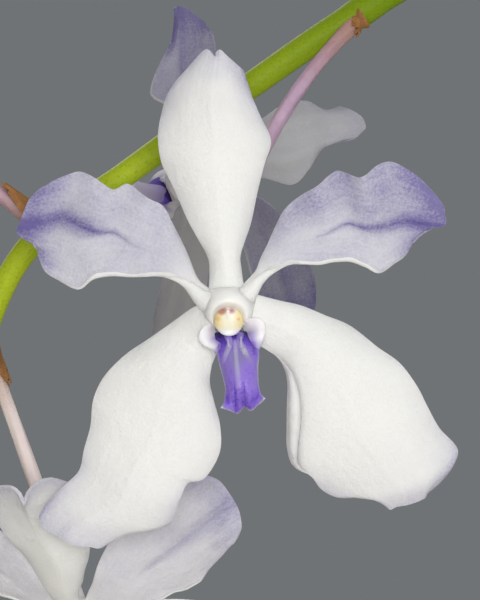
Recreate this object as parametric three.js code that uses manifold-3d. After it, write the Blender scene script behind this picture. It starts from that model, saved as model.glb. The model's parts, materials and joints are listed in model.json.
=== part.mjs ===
// A small blue-violet vanda orchid (Vanda coerulescens type) in a plain clay pot.
//
// One upright stem stands in bark chips. It is wrapped in the sheaths of two opposite rows of strap
// leaves, and throws thick aerial roots. From a leaf axil rises one flower spike, which arches over and
// carries the open blooms and, at its tip, the buds.
//
// Millimetres, +Z up, +X to the right and +Y away from someone looking at the front bloom.
// The origin is the centre of the pot's underside.

import * as THREE from 'three';
import { mergeVertices } from 'three/addons/utils/BufferGeometryUtils.js';
import Module from 'manifold-3d';

const wasm = await Module();
wasm.setup();

const V = (x, y, z) => new THREE.Vector3(x, y, z);
const DEG = Math.PI / 180;
const GAP = 0.35; // left between two pieces that touch

// Clay pot

const POT_HEIGHT = 125;
const POT_FOOT_RADIUS = 52;
const POT_SHOULDER_RADIUS = 67; // just under the rim
const POT_RIM_RADIUS = 73;
const POT_RIM_HEIGHT = 22;
const POT_WALL = 6;
const POT_FLOOR = 8;
const POT_SIDES = 28;
const DRAIN_RADIUS = 6;
const DRAIN_CIRCLE = 26; // the drain holes lie round the centre
const DRAIN_COUNT = 4;

// Bark chips

const BARK_LEVEL = 106; // the bed's general top
const CHIP_COUNT = 29;
const CHIP_LENGTH = [9, 19];

// Stem and leaves

const STEM_FOOT = 62; // it stands in its hole in the bark
const STEM_TOP = 290;
const STEM_RADIUS = 2.6; // under the sheaths
const OLD_STEM_RADIUS = 4.6; // the leafless foot, in the dry remains of sheaths
const FAN_TURN = -14 * DEG; // the plane of the leaves is turned this far from +X
const LEAF_COUNT = 12;
const FIRST_LEAF = 142;
const LEAF_STEP = 12.6; // from one leaf's base to the next, on the other side
const SHEATH_WALL = 0.85;
const SHEATH_FOOT_RADIUS = 4.25;
const SHEATH_FLARE = 0.12; // gain in radius for each mm of height
const SHEATH_LONG = 1.22; // the sheath is flattened: wider in the leaves' plane
const SHEATH_SHORT = 0.9;
const SHEATH_HEIGHT = 19; // its mouth slants, from this plus to this minus the slant
const SHEATH_SLANT = 4;
const SHEATH_SIDES = 10;
const LEAF_THICKNESS = 1.1;
const LEAF_HALF_WIDTH = 9.2; // measured along one side of its V

// Flower spike: points that its centre line passes through, from the leaf axil to the tip

const SPIKE_ROUTE = [
  V(-2.35, -6.85, 212.8), V(-6.4, -10.6, 250), V(-13.5, -12, 296), V(-25, -11.5, 343), V(-41, -9.5, 386),
  V(-57, -7, 416), V(-72, -6, 431), V(-86.5, -5.3, 430.6), V(-99.9, -5, 423.5), V(-108.1, -5, 418),
  V(-118, -5, 411), V(-126.3, -4.8, 404.7), V(-130.2, -3.6, 396.5), V(-132, -0.4, 386),
  V(-134.5, 2.6, 374), V(-138.5, 4.2, 362), V(-144, 4.8, 351), V(-150, 5, 342),
];
const SPIKE_RADIUS = [1.9, 1.12, 0.75]; // at its foot, by the front bloom and at the tip
const FRONT_SHARE = 0.47; // how far along the spike the front bloom leaves it

// Blooms. Each tepal is a patch between two margins. A rib goes across it and is given by its two ends and
// by how far its middle stands out: x, y, z, x, y, z, rise. The ribs run from the claw to the tip, whose
// edge passes through the tip points. In a bloom's own frame +Y is up, towards the dorsal sepal, and +Z
// points out of its face. The outlines are the front bloom's, 34 mm wide and 38 mm tall.

const TEPAL_THICKNESS = 0.62;
const REACH = 18;

const DORSAL_SEPAL = {
  ribs: [
    [-1.46, 1.1, 0.1, 1.23, 1.1, 0.1, 0.5], [-1.38, 2.9, -0.1, 0.96, 2.9, -0.1, 0.6],
    [-1.62, 4.15, -0.2, 0.92, 4.15, -0.2, 0.6], [-3.0, 6.6, -0.5, 1.69, 6.6, -0.5, 0.8],
    [-4.08, 9.1, -0.7, 2.23, 9.1, -0.7, 0.9], [-5.08, 11.15, -0.9, 2.77, 11.15, -0.8, 0.9],
    [-5.38, 13.1, -1.0, 3.23, 12.9, -0.9, 0.9], [-5.15, 14.8, -1.0, 2.46, 14.7, -0.9, 0.8],
    [-4.54, 16.7, -1.0, 1.77, 16.3, -0.9, 0.7], [-3.3, 18.3, -0.9, 1.15, 18.3, -0.8, 0.4],
  ],
  tip: [[-2.15, 19.54, -0.9], [-1.54, 19.88, -0.9], [-0.96, 19.3, -0.7], [-0.69, 19.88, -0.9],
    [0.15, 19.15, -0.8]],
};

const LEFT_PETAL = {
  ribs: [
    [-2.15, 0.15, 0.5, -1.3, 1.38, 0.5, 0.2], [-2.85, 1.08, 0.7, -2.33, 2.15, 0.4, 0.2],
    [-4.0, 2.08, 0.9, -3.08, 3.92, -0.2, 0], [-5.23, 2.42, 0.9, -4.12, 6.05, -0.5, -0.3],
    [-6.54, 2.42, 0.8, -5.0, 7.77, -0.7, -0.4], [-7.92, 2.44, 0.6, -6.27, 8.5, -0.5, -0.5],
    [-9.23, 2.46, 0.4, -7.77, 9.54, -0.9, -0.5], [-10.46, 2.17, 0.2, -8.92, 9.12, -0.1, -0.5],
    [-11.6, 1.48, -0.1, -10.23, 9.96, -0.5, -0.5], [-13.1, 2.2, -0.5, -11.5, 10.5, -1.1, -0.4],
    [-14.1, 2.85, -0.7, -13.1, 10.0, -1.0, -0.4], [-14.65, 4.0, -0.9, -14.5, 9.2, -1.0, -0.3],
  ],
  tip: [[-14.9, 4.9, -1.2], [-15.85, 5.4, -1.5], [-16.35, 5.9, -1.6], [-16.0, 6.8, -1.5],
    [-15.8, 7.5, -1.4], [-15.4, 8.3, -1.2]],
};

const RIGHT_PETAL = {
  ribs: [
    [2.23, 1.0, 0.5, 1.15, 1.9, 0.5, 0.2], [2.54, 1.73, 0.7, 2.1, 2.75, 0.4, 0.2],
    [3.38, 2.65, 0.9, 2.65, 4.1, -0.1, 0], [4.48, 3.3, 0.9, 3.54, 5.92, -0.4, -0.2],
    [5.77, 3.38, 0.8, 4.46, 7.7, -0.6, -0.4], [7.08, 3.35, 0.6, 5.77, 8.75, -0.5, -0.4],
    [8.23, 3.58, 0.5, 6.9, 9.4, -0.2, -0.5], [9.38, 3.58, 0.3, 8.38, 10.57, -0.9, -0.5],
    [10.46, 3.23, 0.1, 10.15, 10.04, -0.1, -0.5], [11.6, 2.72, -0.1, 11.46, 10.96, -0.6, -0.5],
    [12.77, 3.45, -0.5, 12.6, 11.25, -1.1, -0.4], [13.7, 4.15, -0.7, 14.23, 10.44, -1.0, -0.4],
    [14.3, 5.3, -0.9, 15.54, 9.25, -1.0, -0.3],
  ],
  tip: [[15.08, 5.92, -1.2], [16.0, 6.23, -1.5], [16.77, 6.46, -1.6], [16.8, 7.08, -1.5],
    [16.58, 8.0, -1.2]],
};

const LEFT_SEPAL = {
  ribs: [
    [-1.77, 0.3, -0.1, -1.08, -1.92, -0.1, 0.3], [-2.77, -0.04, -0.2, -0.88, -3.23, -0.2, 0.4],
    [-4.3, -1.15, -0.4, -1.3, -4.46, -0.4, 0.5], [-6.15, -2.46, -0.6, -1.5, -5.77, -0.5, 0.6],
    [-8.0, -3.73, -0.8, -1.15, -7.23, -0.6, 0.6], [-9.54, -5.3, -1.1, -0.65, -9.23, -0.7, 0.6],
    [-10.4, -7.1, -1.3, -0.7, -11.15, -0.8, 0.6], [-10.6, -9.1, -1.3, -1.85, -13.1, -0.7, 0.6],
    [-11.1, -10.9, -1.2, -3.15, -13.5, -0.4, 0.5], [-11.5, -12.6, -1.1, -3.77, -14.85, -0.3, 0.5],
    [-12.8, -13.85, -1.0, -4.6, -16.7, -0.7, 0.4], [-14.0, -15.1, -1.0, -6.77, -16.85, -0.8, 0.3],
    [-14.6, -16.15, -1.0, -8.9, -17.7, -0.9, 0.3],
  ],
  tip: [[-14.3, -17.0, -1.2], [-13.4, -17.5, -1.2], [-12.7, -17.85, -1.0], [-12.0, -18.3, -1.1],
    [-10.8, -18.4, -1.1], [-9.9, -18.5, -1.0]],
};

const RIGHT_SEPAL = {
  ribs: [
    [1.46, -1.77, -0.1, 2.15, 1.0, -0.1, 0.3], [2.3, -2.77, -0.2, 3.7, 0.58, -0.2, 0.4],
    [3.7, -3.65, -0.2, 5.54, 0.15, -0.4, 0.5], [4.42, -4.7, -0.2, 7.46, -0.62, -0.6, 0.6],
    [4.65, -6.0, -0.2, 9.4, -1.46, -0.8, 0.7], [4.6, -7.54, -0.2, 11.5, -3.08, -0.9, 0.7],
    [4.58, -9.23, -0.3, 13.2, -4.3, -1.0, 0.6], [4.63, -10.9, -0.5, 14.5, -6.0, -1.0, 0.5],
    [5.08, -12.15, -0.7, 15.4, -7.77, -0.9, 0.4], [6.4, -13.0, -0.7, 16.3, -9.35, -1.1, 0.4],
    [7.23, -14.0, -0.9, 17.4, -10.5, -1.3, 0.4], [8.46, -14.6, -0.8, 17.7, -11.23, -1.3, 0.4],
    [9.85, -14.4, -0.5, 17.2, -12.4, -1.1, 0.3], [11.15, -14.5, -0.6, 16.3, -13.54, -1.1, 0.2],
  ],
  tip: [[12.1, -15.0, -0.8], [12.5, -15.5, -0.9], [13.0, -15.3, -0.9], [14.0, -15.1, -1.0],
    [15.0, -14.7, -1.1], [15.3, -14.3, -1.1]],
};

const LIP = {
  ribs: [
    [-0.6, -2.3, 1.9, 1.6, -2.3, 1.9, -0.3], [-0.9, -3.3, 3.2, 2.35, -3.2, 3.2, -0.5],
    [-0.55, -4.5, 4.4, 2.23, -4.3, 4.4, 0.4], [-0.3, -5.4, 5.0, 2.2, -5.23, 5.0, 0.6],
    [-0.15, -6.2, 5.2, 2.3, -6.15, 5.2, 0.6], [-0.28, -7.1, 5.1, 2.5, -6.6, 5.1, 0.4],
    [-0.57, -7.54, 5.3, 2.8, -6.8, 5.3, 0],
  ],
  tip: [[0.08, -7.77, 5.0], [0.7, -7.97, 4.8], [1.24, -7.5, 4.8], [1.7, -7.73, 4.8], [2.28, -7.38, 5.0]],
};

// Column: rings of centre x, y, half width, half height and height out of the face
const COLUMN = [
  [0, 0.3, 1.1, 1.1, -2.0], [0, 0.55, 2.2, 1.65, -0.4], [0.02, 0.25, 2.0, 1.6, 1.6],
  [0.05, -0.5, 1.75, 1.55, 3.3],
];
const CAP_SEAT = { x: 0.05, y: -0.55, across: 1.25, up: 1.1, from: 2.2 };
const CAP = { depth: 0.8, z: 3.3 };

// The spur behind the lip, and its two side lobes, which stand like ears beside the column
const SPUR_ROUTE = [V(0.5, -2.55, 1.9), V(0.55, -3.2, 0.2), V(0.5, -3.9, -2.4), V(0.4, -4.3, -5.4)];
const SPUR_RADIUS = [0.85, 0.5];
const LEFT_EAR = [V(-0.3, -2.5, 1.9), V(-1.5, -2.6, 1.8), V(-2.1, -1.7, 1.7), V(-1.7, -1.15, 1.7)];
const RIGHT_EAR = [V(1.2, -2.5, 1.9), V(2.3, -2.3, 1.8), V(2.75, -1.3, 1.7), V(2.35, -0.8, 1.7)];
const EAR_RADIUS = 0.42;

// Where each bloom stands: the point of the spike's route at which its stalk leaves, counted from 0, the
// bloom's centre, where it faces, where its dorsal sepal points, the way its stalk leaves the spike, the
// pull on the stalk at both ends and the bloom's size. Lean is how far its tepals bend forwards, as the turn
// in radians that they have reached at REACH from the centre: dorsal sepal, left and right lower sepal, left
// and right petal.
const BLOOMS = [
  { at: 4.6, centre: V(-31, 6, 421), face: V(0.8, 0.55, 0.1), up: V(0.1, -0.2, 1),
    leave: V(0.6, 0.35, 0.7), pull: [10, 8], size: 0.97,
    lean: [0.1, 0.25, 0.1, 0.2, 0.1] },
  { at: 5.5, centre: V(-59, -28, 440), face: V(0.4, -0.9, 0.15), up: V(0.05, 0.1, 1),
    leave: V(0.25, -0.7, 0.6), pull: [10, 8], size: 1,
    lean: [-0.3, -0.1, -0.2, -0.3, -0.15] },
  { at: 6.7, centre: V(-86, 15, 451), face: V(-0.2, 0.9, 0.35), up: V(0.1, -0.3, 1),
    leave: V(-0.3, 0.5, 0.8), pull: [10, 8], size: 1.02,
    lean: [0.2, 0.05, 0.15, 0.25, 0.1] },
  { at: 8, centre: V(-109.9, -22, 400), face: V(0, -1, 0), up: V(0, 0, 1),
    leave: V(-0.7, -0.3, -0.7), pull: [17, 7.5], size: 1,
    lean: [0, 0, 0, 0, 0] },
  { at: 9.3, centre: V(-114, 21, 411), face: V(0.19, 0.95, -0.25), up: V(0.9, 0, 0.44),
    leave: V(0.1, 0.9, 0.5), pull: [8, 9], size: 0.91,
    lean: [0.78, 1.6, 2.1, 0.36, 0.43] },
  { at: 10.8, centre: V(-149, -12, 421), face: V(-0.75, -0.6, 0.2), up: V(0.2, 0, 1),
    leave: V(-0.7, -0.2, 0.6), pull: [10, 8], size: 0.98,
    lean: [0.05, 0.2, 0.1, 0.15, 0.3] },
  { at: 12, centre: V(-121.8, -4.5, 374.1), face: V(0.25, -0.67, -0.7), up: V(-0.23, -0.74, 0.63),
    leave: V(0.3, 0.35, -0.85), pull: [9, 8], size: 1,
    lean: [-0.05, 0.1, 0.1, 0, 0] },
  { at: 13.4, centre: V(-156, 4, 384), face: V(-0.85, 0.5, -0.1), up: V(0, 0.1, 1),
    leave: V(-0.8, 0.1, 0.2), pull: [9, 8], size: 0.96,
    lean: [0.2, 0.1, 0.3, 0.15, 0.2] },
];
const STALK_RADIUS = [0.58, 0.62, 0.95]; // at the spike, halfway and as the ovary behind the bloom

// Buds, from the last bloom to the tip: where and which way their stalk leaves, its length, the bud's
// length and its radius
const BUDS = [
  { at: 14.4, leave: V(0.6, 0.75, -0.3), stalk: 15, length: 11, radius: 3.1 },
  { at: 15.3, leave: V(-0.8, -0.5, 0.1), stalk: 12, length: 9, radius: 2.6 },
  { at: 16.1, leave: V(0.5, -0.5, -0.7), stalk: 9.5, length: 7, radius: 2.1 },
  { at: 16.75, leave: V(-0.5, 0.6, 0.2), stalk: 7, length: 5.5, radius: 1.6 },
];

// Roots: radius, then the points that the root passes through, from the stem outwards
const ROOTS = [
  [2.6, V(4.6, -2.9, 134), V(15, -11, 137), V(30, -20, 125), V(37, -25, 104), V(39, -27, 82)],
  [2.4, V(-4.1, -3.5, 121), V(-14, -13, 124), V(-25, -25, 116), V(-30, -31, 100), V(-31, -32, 80)],
  [2.5, V(-2.8, 4.7, 128), V(-11, 17, 131), V(-23, 31, 120), V(-28, 37, 102), V(-29, 38, 82)],
  [2.7, V(3.4, 4.4, 118), V(12, 13, 120), V(22, 23, 112), V(27, 29, 98), V(28, 30, 84)],
  [2.6, V(6.1, 1.3, 125), V(22, 6, 137), V(46, 15, 138), V(72, 25, 130), V(82, 27, 108), V(79, 24, 84),
    V(80, 20, 60)],
  [2.3, V(-5.8, 0.4, 134), V(-24, 2, 145), V(-51, 3, 144), V(-75, 2, 132), V(-85, -1, 110),
    V(-80, -5, 86), V(-79, -8, 62)],
  [2.4, V(0.9, -5.8, 129), V(2, -21, 137), V(-5, -46, 137), V(-14, -72, 131), V(-22, -82, 104),
    V(-24, -77, 80), V(-27, -74, 58)],
];

// Small tools

// A number or a row of numbers part of the way along a list of rows, on a smooth curve through them
function along(rows, share) {
  const place = Math.min(Math.max(share, 0), 1) * (rows.length - 1);
  const i = Math.min(Math.floor(place), rows.length - 2);
  const t = place - i;
  const [a, b, c, d] = [-1, 0, 1, 2].map((k) => rows[Math.min(Math.max(i + k, 0), rows.length - 1)]);
  const blend = (p, q, r, s) =>
    q + 0.5 * t * (r - p + t * (2 * p - 5 * q + 4 * r - s + t * (3 * (q - r) + s - p)));
  return typeof b === 'number' ? blend(a, b, c, d) : b.map((_, k) => blend(a[k], b[k], c[k], d[k]));
}

const mix = (a, b, t) => a + (b - a) * t;
const smoothstep = (t) => {
  const s = Math.min(Math.max(t, 0), 1);
  return s * s * (3 - 2 * s);
};

// Repeatable random numbers from 0 to 1
function seeded(seed) {
  let state = seed;
  return () => {
    state = (state * 1664525 + 1013904223) % 4294967296;
    return state / 4294967296;
  };
}

function geometry(points, index) {
  const made = new THREE.BufferGeometry();
  made.setAttribute('position', new THREE.Float32BufferAttribute(points.flatMap((p) => [p.x, p.y, p.z]), 3));
  made.setIndex(index);
  return made;
}

// A closed skin over rings with equal counts of points, each fanned shut at the two ends
function loft(rings) {
  const n = rings[0].length;
  const points = rings.flat();
  const index = [];
  for (let r = 0; r + 1 < rings.length; r++)
    for (let i = 0; i < n; i++) {
      const a = r * n + i;
      const b = r * n + ((i + 1) % n);
      index.push(a, b, b + n, a, b + n, a + n);
    }
  const middle = (ring) => ring.reduce((sum, p) => sum.add(p), V(0, 0, 0)).divideScalar(n);
  points.push(middle(rings[0]), middle(rings[rings.length - 1]));
  const last = (rings.length - 1) * n;
  for (let i = 0; i < n; i++) {
    const j = (i + 1) % n;
    index.push(points.length - 2, j, i, points.length - 1, last + i, last + j);
  }
  return geometry(points, index);
}

// A round bar along a curve, with its radius given for each share of the length
function bar(curve, radiusAt, sides, steps) {
  const rings = [];
  let across = null;
  for (let k = 0; k <= steps; k++) {
    const tangent = curve.getTangent(k / steps).normalize();
    if (!across) across = V(0.3, 1, 0.2);
    across = across.clone().addScaledVector(tangent, -across.dot(tangent)).normalize();
    const side = tangent.clone().cross(across);
    const centre = curve.getPoint(k / steps);
    const r = radiusAt(k / steps);
    rings.push(
      Array.from({ length: sides }, (_, i) => {
        const turn = (2 * Math.PI * i) / sides;
        return centre
          .clone()
          .addScaledVector(across, r * Math.cos(turn))
          .addScaledVector(side, r * Math.sin(turn));
      }),
    );
  }
  return loft(rings);
}

// A thin plate of even thickness along a grid of points. Both faces are split into triangles alike.
function plate(grid, thickness) {
  const rows = grid.length;
  const columns = grid[0].length;
  const faces = [[], []];
  grid.forEach((row, i) =>
    row.forEach((p, j) => {
      const lengthways = grid[Math.min(i + 1, rows - 1)][j].clone().sub(grid[Math.max(i - 1, 0)][j]);
      const crossways = row[Math.min(j + 1, columns - 1)].clone().sub(row[Math.max(j - 1, 0)]);
      const half = lengthways.cross(crossways).setLength(thickness / 2);
      faces[0].push(p.clone().add(half));
      faces[1].push(p.clone().sub(half));
    }),
  );
  const back = rows * columns;
  const index = [];
  const quad = (a, b, c, d) => index.push(a, b, c, a, c, d);
  for (let i = 0; i + 1 < rows; i++)
    for (let j = 0; j + 1 < columns; j++) {
      const a = i * columns + j;
      const [b, c, d] = [a + columns, a + columns + 1, a + 1];
      quad(a, b, c, d);
      index.push(back + a, back + c, back + b, back + a, back + d, back + c);
      if (j === 0) quad(a, back + a, back + b, b);
      if (j + 2 === columns) quad(d, c, back + c, back + d);
      if (i === 0) quad(a, d, back + d, back + a);
      if (i + 2 === rows) quad(b, back + b, back + c, c);
    }
  return geometry([...faces[0], ...faces[1]], index);
}

// Booleans
function solid(source) {
  const bare = new THREE.BufferGeometry().setAttribute('position', source.getAttribute('position').clone());
  bare.setIndex(source.getIndex());
  const merged = mergeVertices(bare, 1e-4);
  return new wasm.Manifold(
    new wasm.Mesh({
      numProp: 3,
      vertProperties: merged.getAttribute('position').array,
      triVerts: new Uint32Array(merged.getIndex().array),
    }),
  );
}
const join = (parts) => parts.map(solid).reduce((whole, part) => whole.add(part));
function fromSolid(shape) {
  const mesh = shape.getMesh();
  const made = new THREE.BufferGeometry();
  made.setAttribute('position', new THREE.BufferAttribute(new Float32Array(mesh.vertProperties), 3));
  made.setIndex([...mesh.triVerts]);
  return made;
}
// The largest body of a solid, without the scraps that a cut can leave
const largest = (shape) => shape.decompose().reduce((a, b) => (a.volume() > b.volume() ? a : b));

// Materials

const paint = (color, roughness) => new THREE.MeshStandardMaterial({ color, roughness, metalness: 0 });
const CLAY = paint('#b0663f', 0.9);
const BARK = paint('#5d3b25', 0.95);
const STEM_GREEN = paint('#7c8a48', 0.6);
const LEAF_GREEN = paint('#4f7a2c', 0.45);
const ROOT_GREY = paint('#a9ab98', 0.8);
const SPIKE_GREEN = paint('#7fa81e', 0.5);
const PETAL_WHITE = paint('#ece9f4', 0.6);
const LIP_VIOLET = paint('#6f4fc4', 0.5);
const CAP_CREAM = paint('#f3dd96', 0.5);
const BUD_LILAC = paint('#b9b2cf', 0.6);

const plant = new THREE.Group();
function add(name, source, material) {
  const mesh = new THREE.Mesh(source, material);
  mesh.name = name;
  plant.add(mesh);
  return mesh;
}

// The pot

const lathe = (profile, sides) =>
  new THREE.LatheGeometry(profile.map(([r, z]) => new THREE.Vector2(r, z)), sides).rotateX(Math.PI / 2);

const potInside = (z) => mix(POT_FOOT_RADIUS, POT_SHOULDER_RADIUS, z / POT_HEIGHT) - POT_WALL;

function pot() {
  const rimFoot = POT_HEIGHT - POT_RIM_HEIGHT;
  const shoulder = mix(POT_FOOT_RADIUS, POT_SHOULDER_RADIUS, rimFoot / POT_HEIGHT);
  const outline = [
    [0, 0], [POT_FOOT_RADIUS - 1.5, 0], [POT_FOOT_RADIUS, 1.5], [shoulder, rimFoot],
    [POT_RIM_RADIUS - 1.5, rimFoot + 1], [POT_RIM_RADIUS, POT_HEIGHT - 2],
    [POT_RIM_RADIUS - 2, POT_HEIGHT], [potInside(POT_HEIGHT) + 1.5, POT_HEIGHT],
    [potInside(POT_HEIGHT - 2), POT_HEIGHT - 2], [potInside(POT_FLOOR), POT_FLOOR], [0, POT_FLOOR],
  ];
  let clay = solid(lathe(outline, POT_SIDES));
  for (let k = 0; k < DRAIN_COUNT; k++) {
    const turn = (2 * Math.PI * (k + 0.5)) / DRAIN_COUNT;
    const drill = new THREE.CylinderGeometry(DRAIN_RADIUS, DRAIN_RADIUS, 3 * POT_FLOOR, 12);
    drill.rotateX(Math.PI / 2).translate(DRAIN_CIRCLE * Math.cos(turn), DRAIN_CIRCLE * Math.sin(turn), 0);
    clay = clay.subtract(solid(drill));
  }
  return clay;
}

// The stem: bare and thicker below the first leaf, with a swelling at each old leaf scar

function stem() {
  const rings = [];
  const ring = (z, r) =>
    rings.push(
      Array.from({ length: 8 }, (_, i) => {
        const turn = (2 * Math.PI * i) / 8;
        return V(r * Math.cos(turn), r * Math.sin(turn), z);
      }),
    );
  ring(STEM_FOOT, OLD_STEM_RADIUS * 0.7);
  ring(STEM_FOOT + 6, OLD_STEM_RADIUS);
  for (let z = STEM_FOOT + 46; z < FIRST_LEAF - 4; z += 9) {
    ring(z, OLD_STEM_RADIUS - 0.5);
    ring(z + 1.5, OLD_STEM_RADIUS + 0.2);
  }
  ring(FIRST_LEAF - 1, OLD_STEM_RADIUS - 0.4);
  ring(FIRST_LEAF - 0.4, STEM_RADIUS);
  ring(STEM_TOP, STEM_RADIUS * 0.8);
  return loft(rings);
}

// Leaves, in two opposite rows. Each clasps the stem with a sheath, and the next sheath starts inside it.

function sheathPoint(turn, height, radius) {
  return V(radius * SHEATH_LONG * Math.cos(turn), radius * SHEATH_SHORT * Math.sin(turn), height);
}

function sheathCone(inset, bottom, mouthAt) {
  const turns = Array.from({ length: SHEATH_SIDES }, (_, i) => (2 * Math.PI * i) / SHEATH_SIDES);
  const radius = (height) => SHEATH_FOOT_RADIUS + SHEATH_FLARE * height - inset;
  return loft([
    turns.map((turn) => sheathPoint(turn, bottom, radius(bottom))),
    turns.map((turn) => sheathPoint(turn, mouthAt(turn), radius(mouthAt(turn)))),
  ]);
}

// Length, lean from the vertical past the sheath and at the tip, for each leaf from the lowest
function leafHabit(k) {
  const age = 1 - k / (LEAF_COUNT - 1);
  return {
    length: mix(70, 168, Math.min(1, age * 2.2) ** 0.8) - 6 * (k % 3),
    lean: mix(9, 50, age ** 0.7) * DEG,
    droop: mix(26, 122, age ** 0.8) * DEG,
  };
}

function leafGrid(k) {
  const { length, lean, droop } = leafHabit(k);
  const steps = 7;
  const start = SHEATH_HEIGHT - SHEATH_SLANT;
  const startRadius = (SHEATH_FOOT_RADIUS + SHEATH_FLARE * start) * SHEATH_LONG - SHEATH_WALL / 2;
  const middle = V(startRadius, 0, start);
  const grid = [];
  const fine = 8; // substeps along the midrib between two rows
  for (let i = 0; i <= steps; i++) {
    const share = i / steps;
    const angle = (s) =>
      mix(Math.atan(SHEATH_FLARE * SHEATH_LONG), lean, smoothstep((s * length) / 26)) +
      (droop - lean) * s ** 1.25;
    const ahead = V(Math.sin(angle(share)), 0, Math.cos(angle(share)));
    const inwards = V(-ahead.z, 0, ahead.x);
    const half = LEAF_HALF_WIDTH * along([0.62, 0.86, 1, 1, 0.98, 0.9, 0.74], share);
    const fold = along([64, 52, 50, 54, 60, 68], share) * DEG; // between the keel's plane and one side
    grid.push(
      [-1, 0, 1].map((t) => {
        const notch = i === steps ? [2, -3, 4.5][t + 1] : 0;
        return middle
          .clone()
          .addScaledVector(inwards, Math.abs(t) * half * Math.cos(fold))
          .addScaledVector(ahead, notch)
          .add(V(0, t * half * Math.sin(fold), 0));
      }),
    );
    for (let f = 0; f < fine && i < steps; f++) {
      const s = angle((i + (f + 0.5) / fine) / steps);
      middle.add(V(Math.sin(s), 0, Math.cos(s)).multiplyScalar(length / steps / fine));
    }
  }
  return grid;
}

const leafPlace = (k) => ({
  turn: FAN_TURN + (k % 2 ? 0 : Math.PI) + (((k * 7) % 5) - 2) * 1.6 * DEG,
  height: FIRST_LEAF + k * LEAF_STEP,
});

function leaf(k) {
  const blade = solid(plate(leafGrid(k), LEAF_THICKNESS));
  const outside = solid(sheathCone(0, 0, (turn) => SHEATH_HEIGHT + SHEATH_SLANT * Math.cos(turn)));
  const bore = solid(sheathCone(SHEATH_WALL, -1, () => SHEATH_HEIGHT + 2 * SHEATH_SLANT));
  const whole = largest(outside.add(blade).subtract(bore));
  return fromSolid(whole);
}

// Roots

const route = (points) => new THREE.CatmullRomCurve3(points, false, 'centripetal');

function root([radius, ...points], swell = 0) {
  const [before, end] = points.slice(-2);
  const onwards = end.clone().sub(before).setLength(swell);
  const taper = (s) => radius * mix(1, 0.8, s) * (s > 0.97 ? 0.6 : 1) + swell;
  const curve = route([...points.slice(0, -1), end.clone().add(onwards)]);
  return bar(curve, taper, 6, Math.round(points.length * 2.2));
}

// Bark chips: a bed with rough blocks standing out of its top

function barkBed() {
  const random = seeded(41);
  const between = (low, high) => mix(low, high, random());
  const bedTop = BARK_LEVEL - 5;
  const room = solid(
    lathe([[0, POT_FLOOR + GAP], [potInside(POT_FLOOR) - GAP, POT_FLOOR + GAP],
      [potInside(POT_HEIGHT) - GAP, POT_HEIGHT], [0, POT_HEIGHT]], POT_SIDES),
  );
  const bed = lathe([[0, POT_FLOOR + GAP], [potInside(POT_FLOOR) - GAP, POT_FLOOR + GAP],
    [potInside(bedTop) - GAP, bedTop], [0, bedTop + 2]], POT_SIDES);
  const parts = [bed];
  for (let k = 0; k < CHIP_COUNT; k++) {
    const length = between(...CHIP_LENGTH);
    const chip = new THREE.BoxGeometry(length, length * between(0.5, 0.75), length * between(0.32, 0.5));
    const corners = chip.getAttribute('position');
    const shift = {};
    for (let i = 0; i < corners.count; i++) {
      const key = [corners.getX(i), corners.getY(i), corners.getZ(i)].map(Math.sign).join();
      shift[key] ??= [1, 2, 3].map(() => between(0.72, 1.1));
      corners.setXYZ(i, corners.getX(i) * shift[key][0], corners.getY(i) * shift[key][1],
        corners.getZ(i) * shift[key][2]);
    }
    const ring = Math.sqrt((k + 0.5) / CHIP_COUNT) * (potInside(BARK_LEVEL) - 5);
    const turn = k * 137.5 * DEG;
    chip.rotateX(between(-0.5, 0.5)).rotateY(between(-0.4, 0.4)).rotateZ(between(0, 6.3));
    chip.translate(ring * Math.cos(turn), ring * Math.sin(turn), bedTop + between(0.5, 4));
    parts.push(chip.deleteAttribute('normal').deleteAttribute('uv'));
  }
  const stemHole = new THREE.CylinderGeometry(OLD_STEM_RADIUS + 0.6, OLD_STEM_RADIUS + 0.6, 80, 12)
    .rotateX(Math.PI / 2).translate(0, 0, STEM_FOOT - GAP + 40);
  let bark = join(parts).intersect(room).subtract(solid(stemHole));
  ROOTS.forEach((r) => {
    bark = bark.subtract(solid(root(r, 2 * GAP)));
  });
  return largest(bark);
}

// The spike, with a dry little bract under each stalk

const spikeCurve = route(SPIKE_ROUTE);
const spikeRadius = (s) =>
  s < FRONT_SHARE
    ? mix(SPIKE_RADIUS[0], SPIKE_RADIUS[1], s / FRONT_SHARE)
    : mix(SPIKE_RADIUS[1], SPIKE_RADIUS[2], (s - FRONT_SHARE) / (1 - FRONT_SHARE));

// The place on the spike where a stalk leaves, and the way out of the skin there
function nodeOf({ at, leave }) {
  const share = at / (SPIKE_ROUTE.length - 1);
  const centre = spikeCurve.getPoint(share);
  const tangent = spikeCurve.getTangent(share).normalize();
  const out = leave.clone().addScaledVector(tangent, -leave.dot(tangent)).normalize();
  const radius = spikeRadius(share);
  return { centre, tangent, out, radius, start: centre.clone().addScaledVector(out, radius * 0.9) };
}

function bract({ centre, tangent, out, radius }, swell) {
  const side = out.clone().cross(tangent);
  const foot = centre.clone().addScaledVector(tangent, -2.1);
  const ring = (ahead, lift, half, thick) => {
    const middle = foot.clone().addScaledVector(tangent, ahead).addScaledVector(out, lift + swell);
    return [[1, 1], [-1, 1], [-1, -1], [1, -1]].map(([a, b]) =>
      middle.clone().addScaledVector(side, a * (half + swell)).addScaledVector(out, b * (thick + swell)),
    );
  };
  return loft([ring(-0.7 - swell, radius - 0.4, 0.9, 0.5), ring(0, radius + 0.6, 1.1, 0.6),
    ring(0.5 + swell, radius + 1.5, 0.3, 0.4)]);
}

function spike(swell = 0) {
  const bracts = [...BLOOMS, ...BUDS].map((flower) => bract(nodeOf(flower), swell));
  return join([bar(spikeCurve, (s) => spikeRadius(s) + swell, 6, 30), ...bracts]);
}

// A stalk starts inside the spike and is cut off just outside its skin
const offSpike = (shape) => largest(shape.subtract(spikeRoom));

// One bloom

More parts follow.
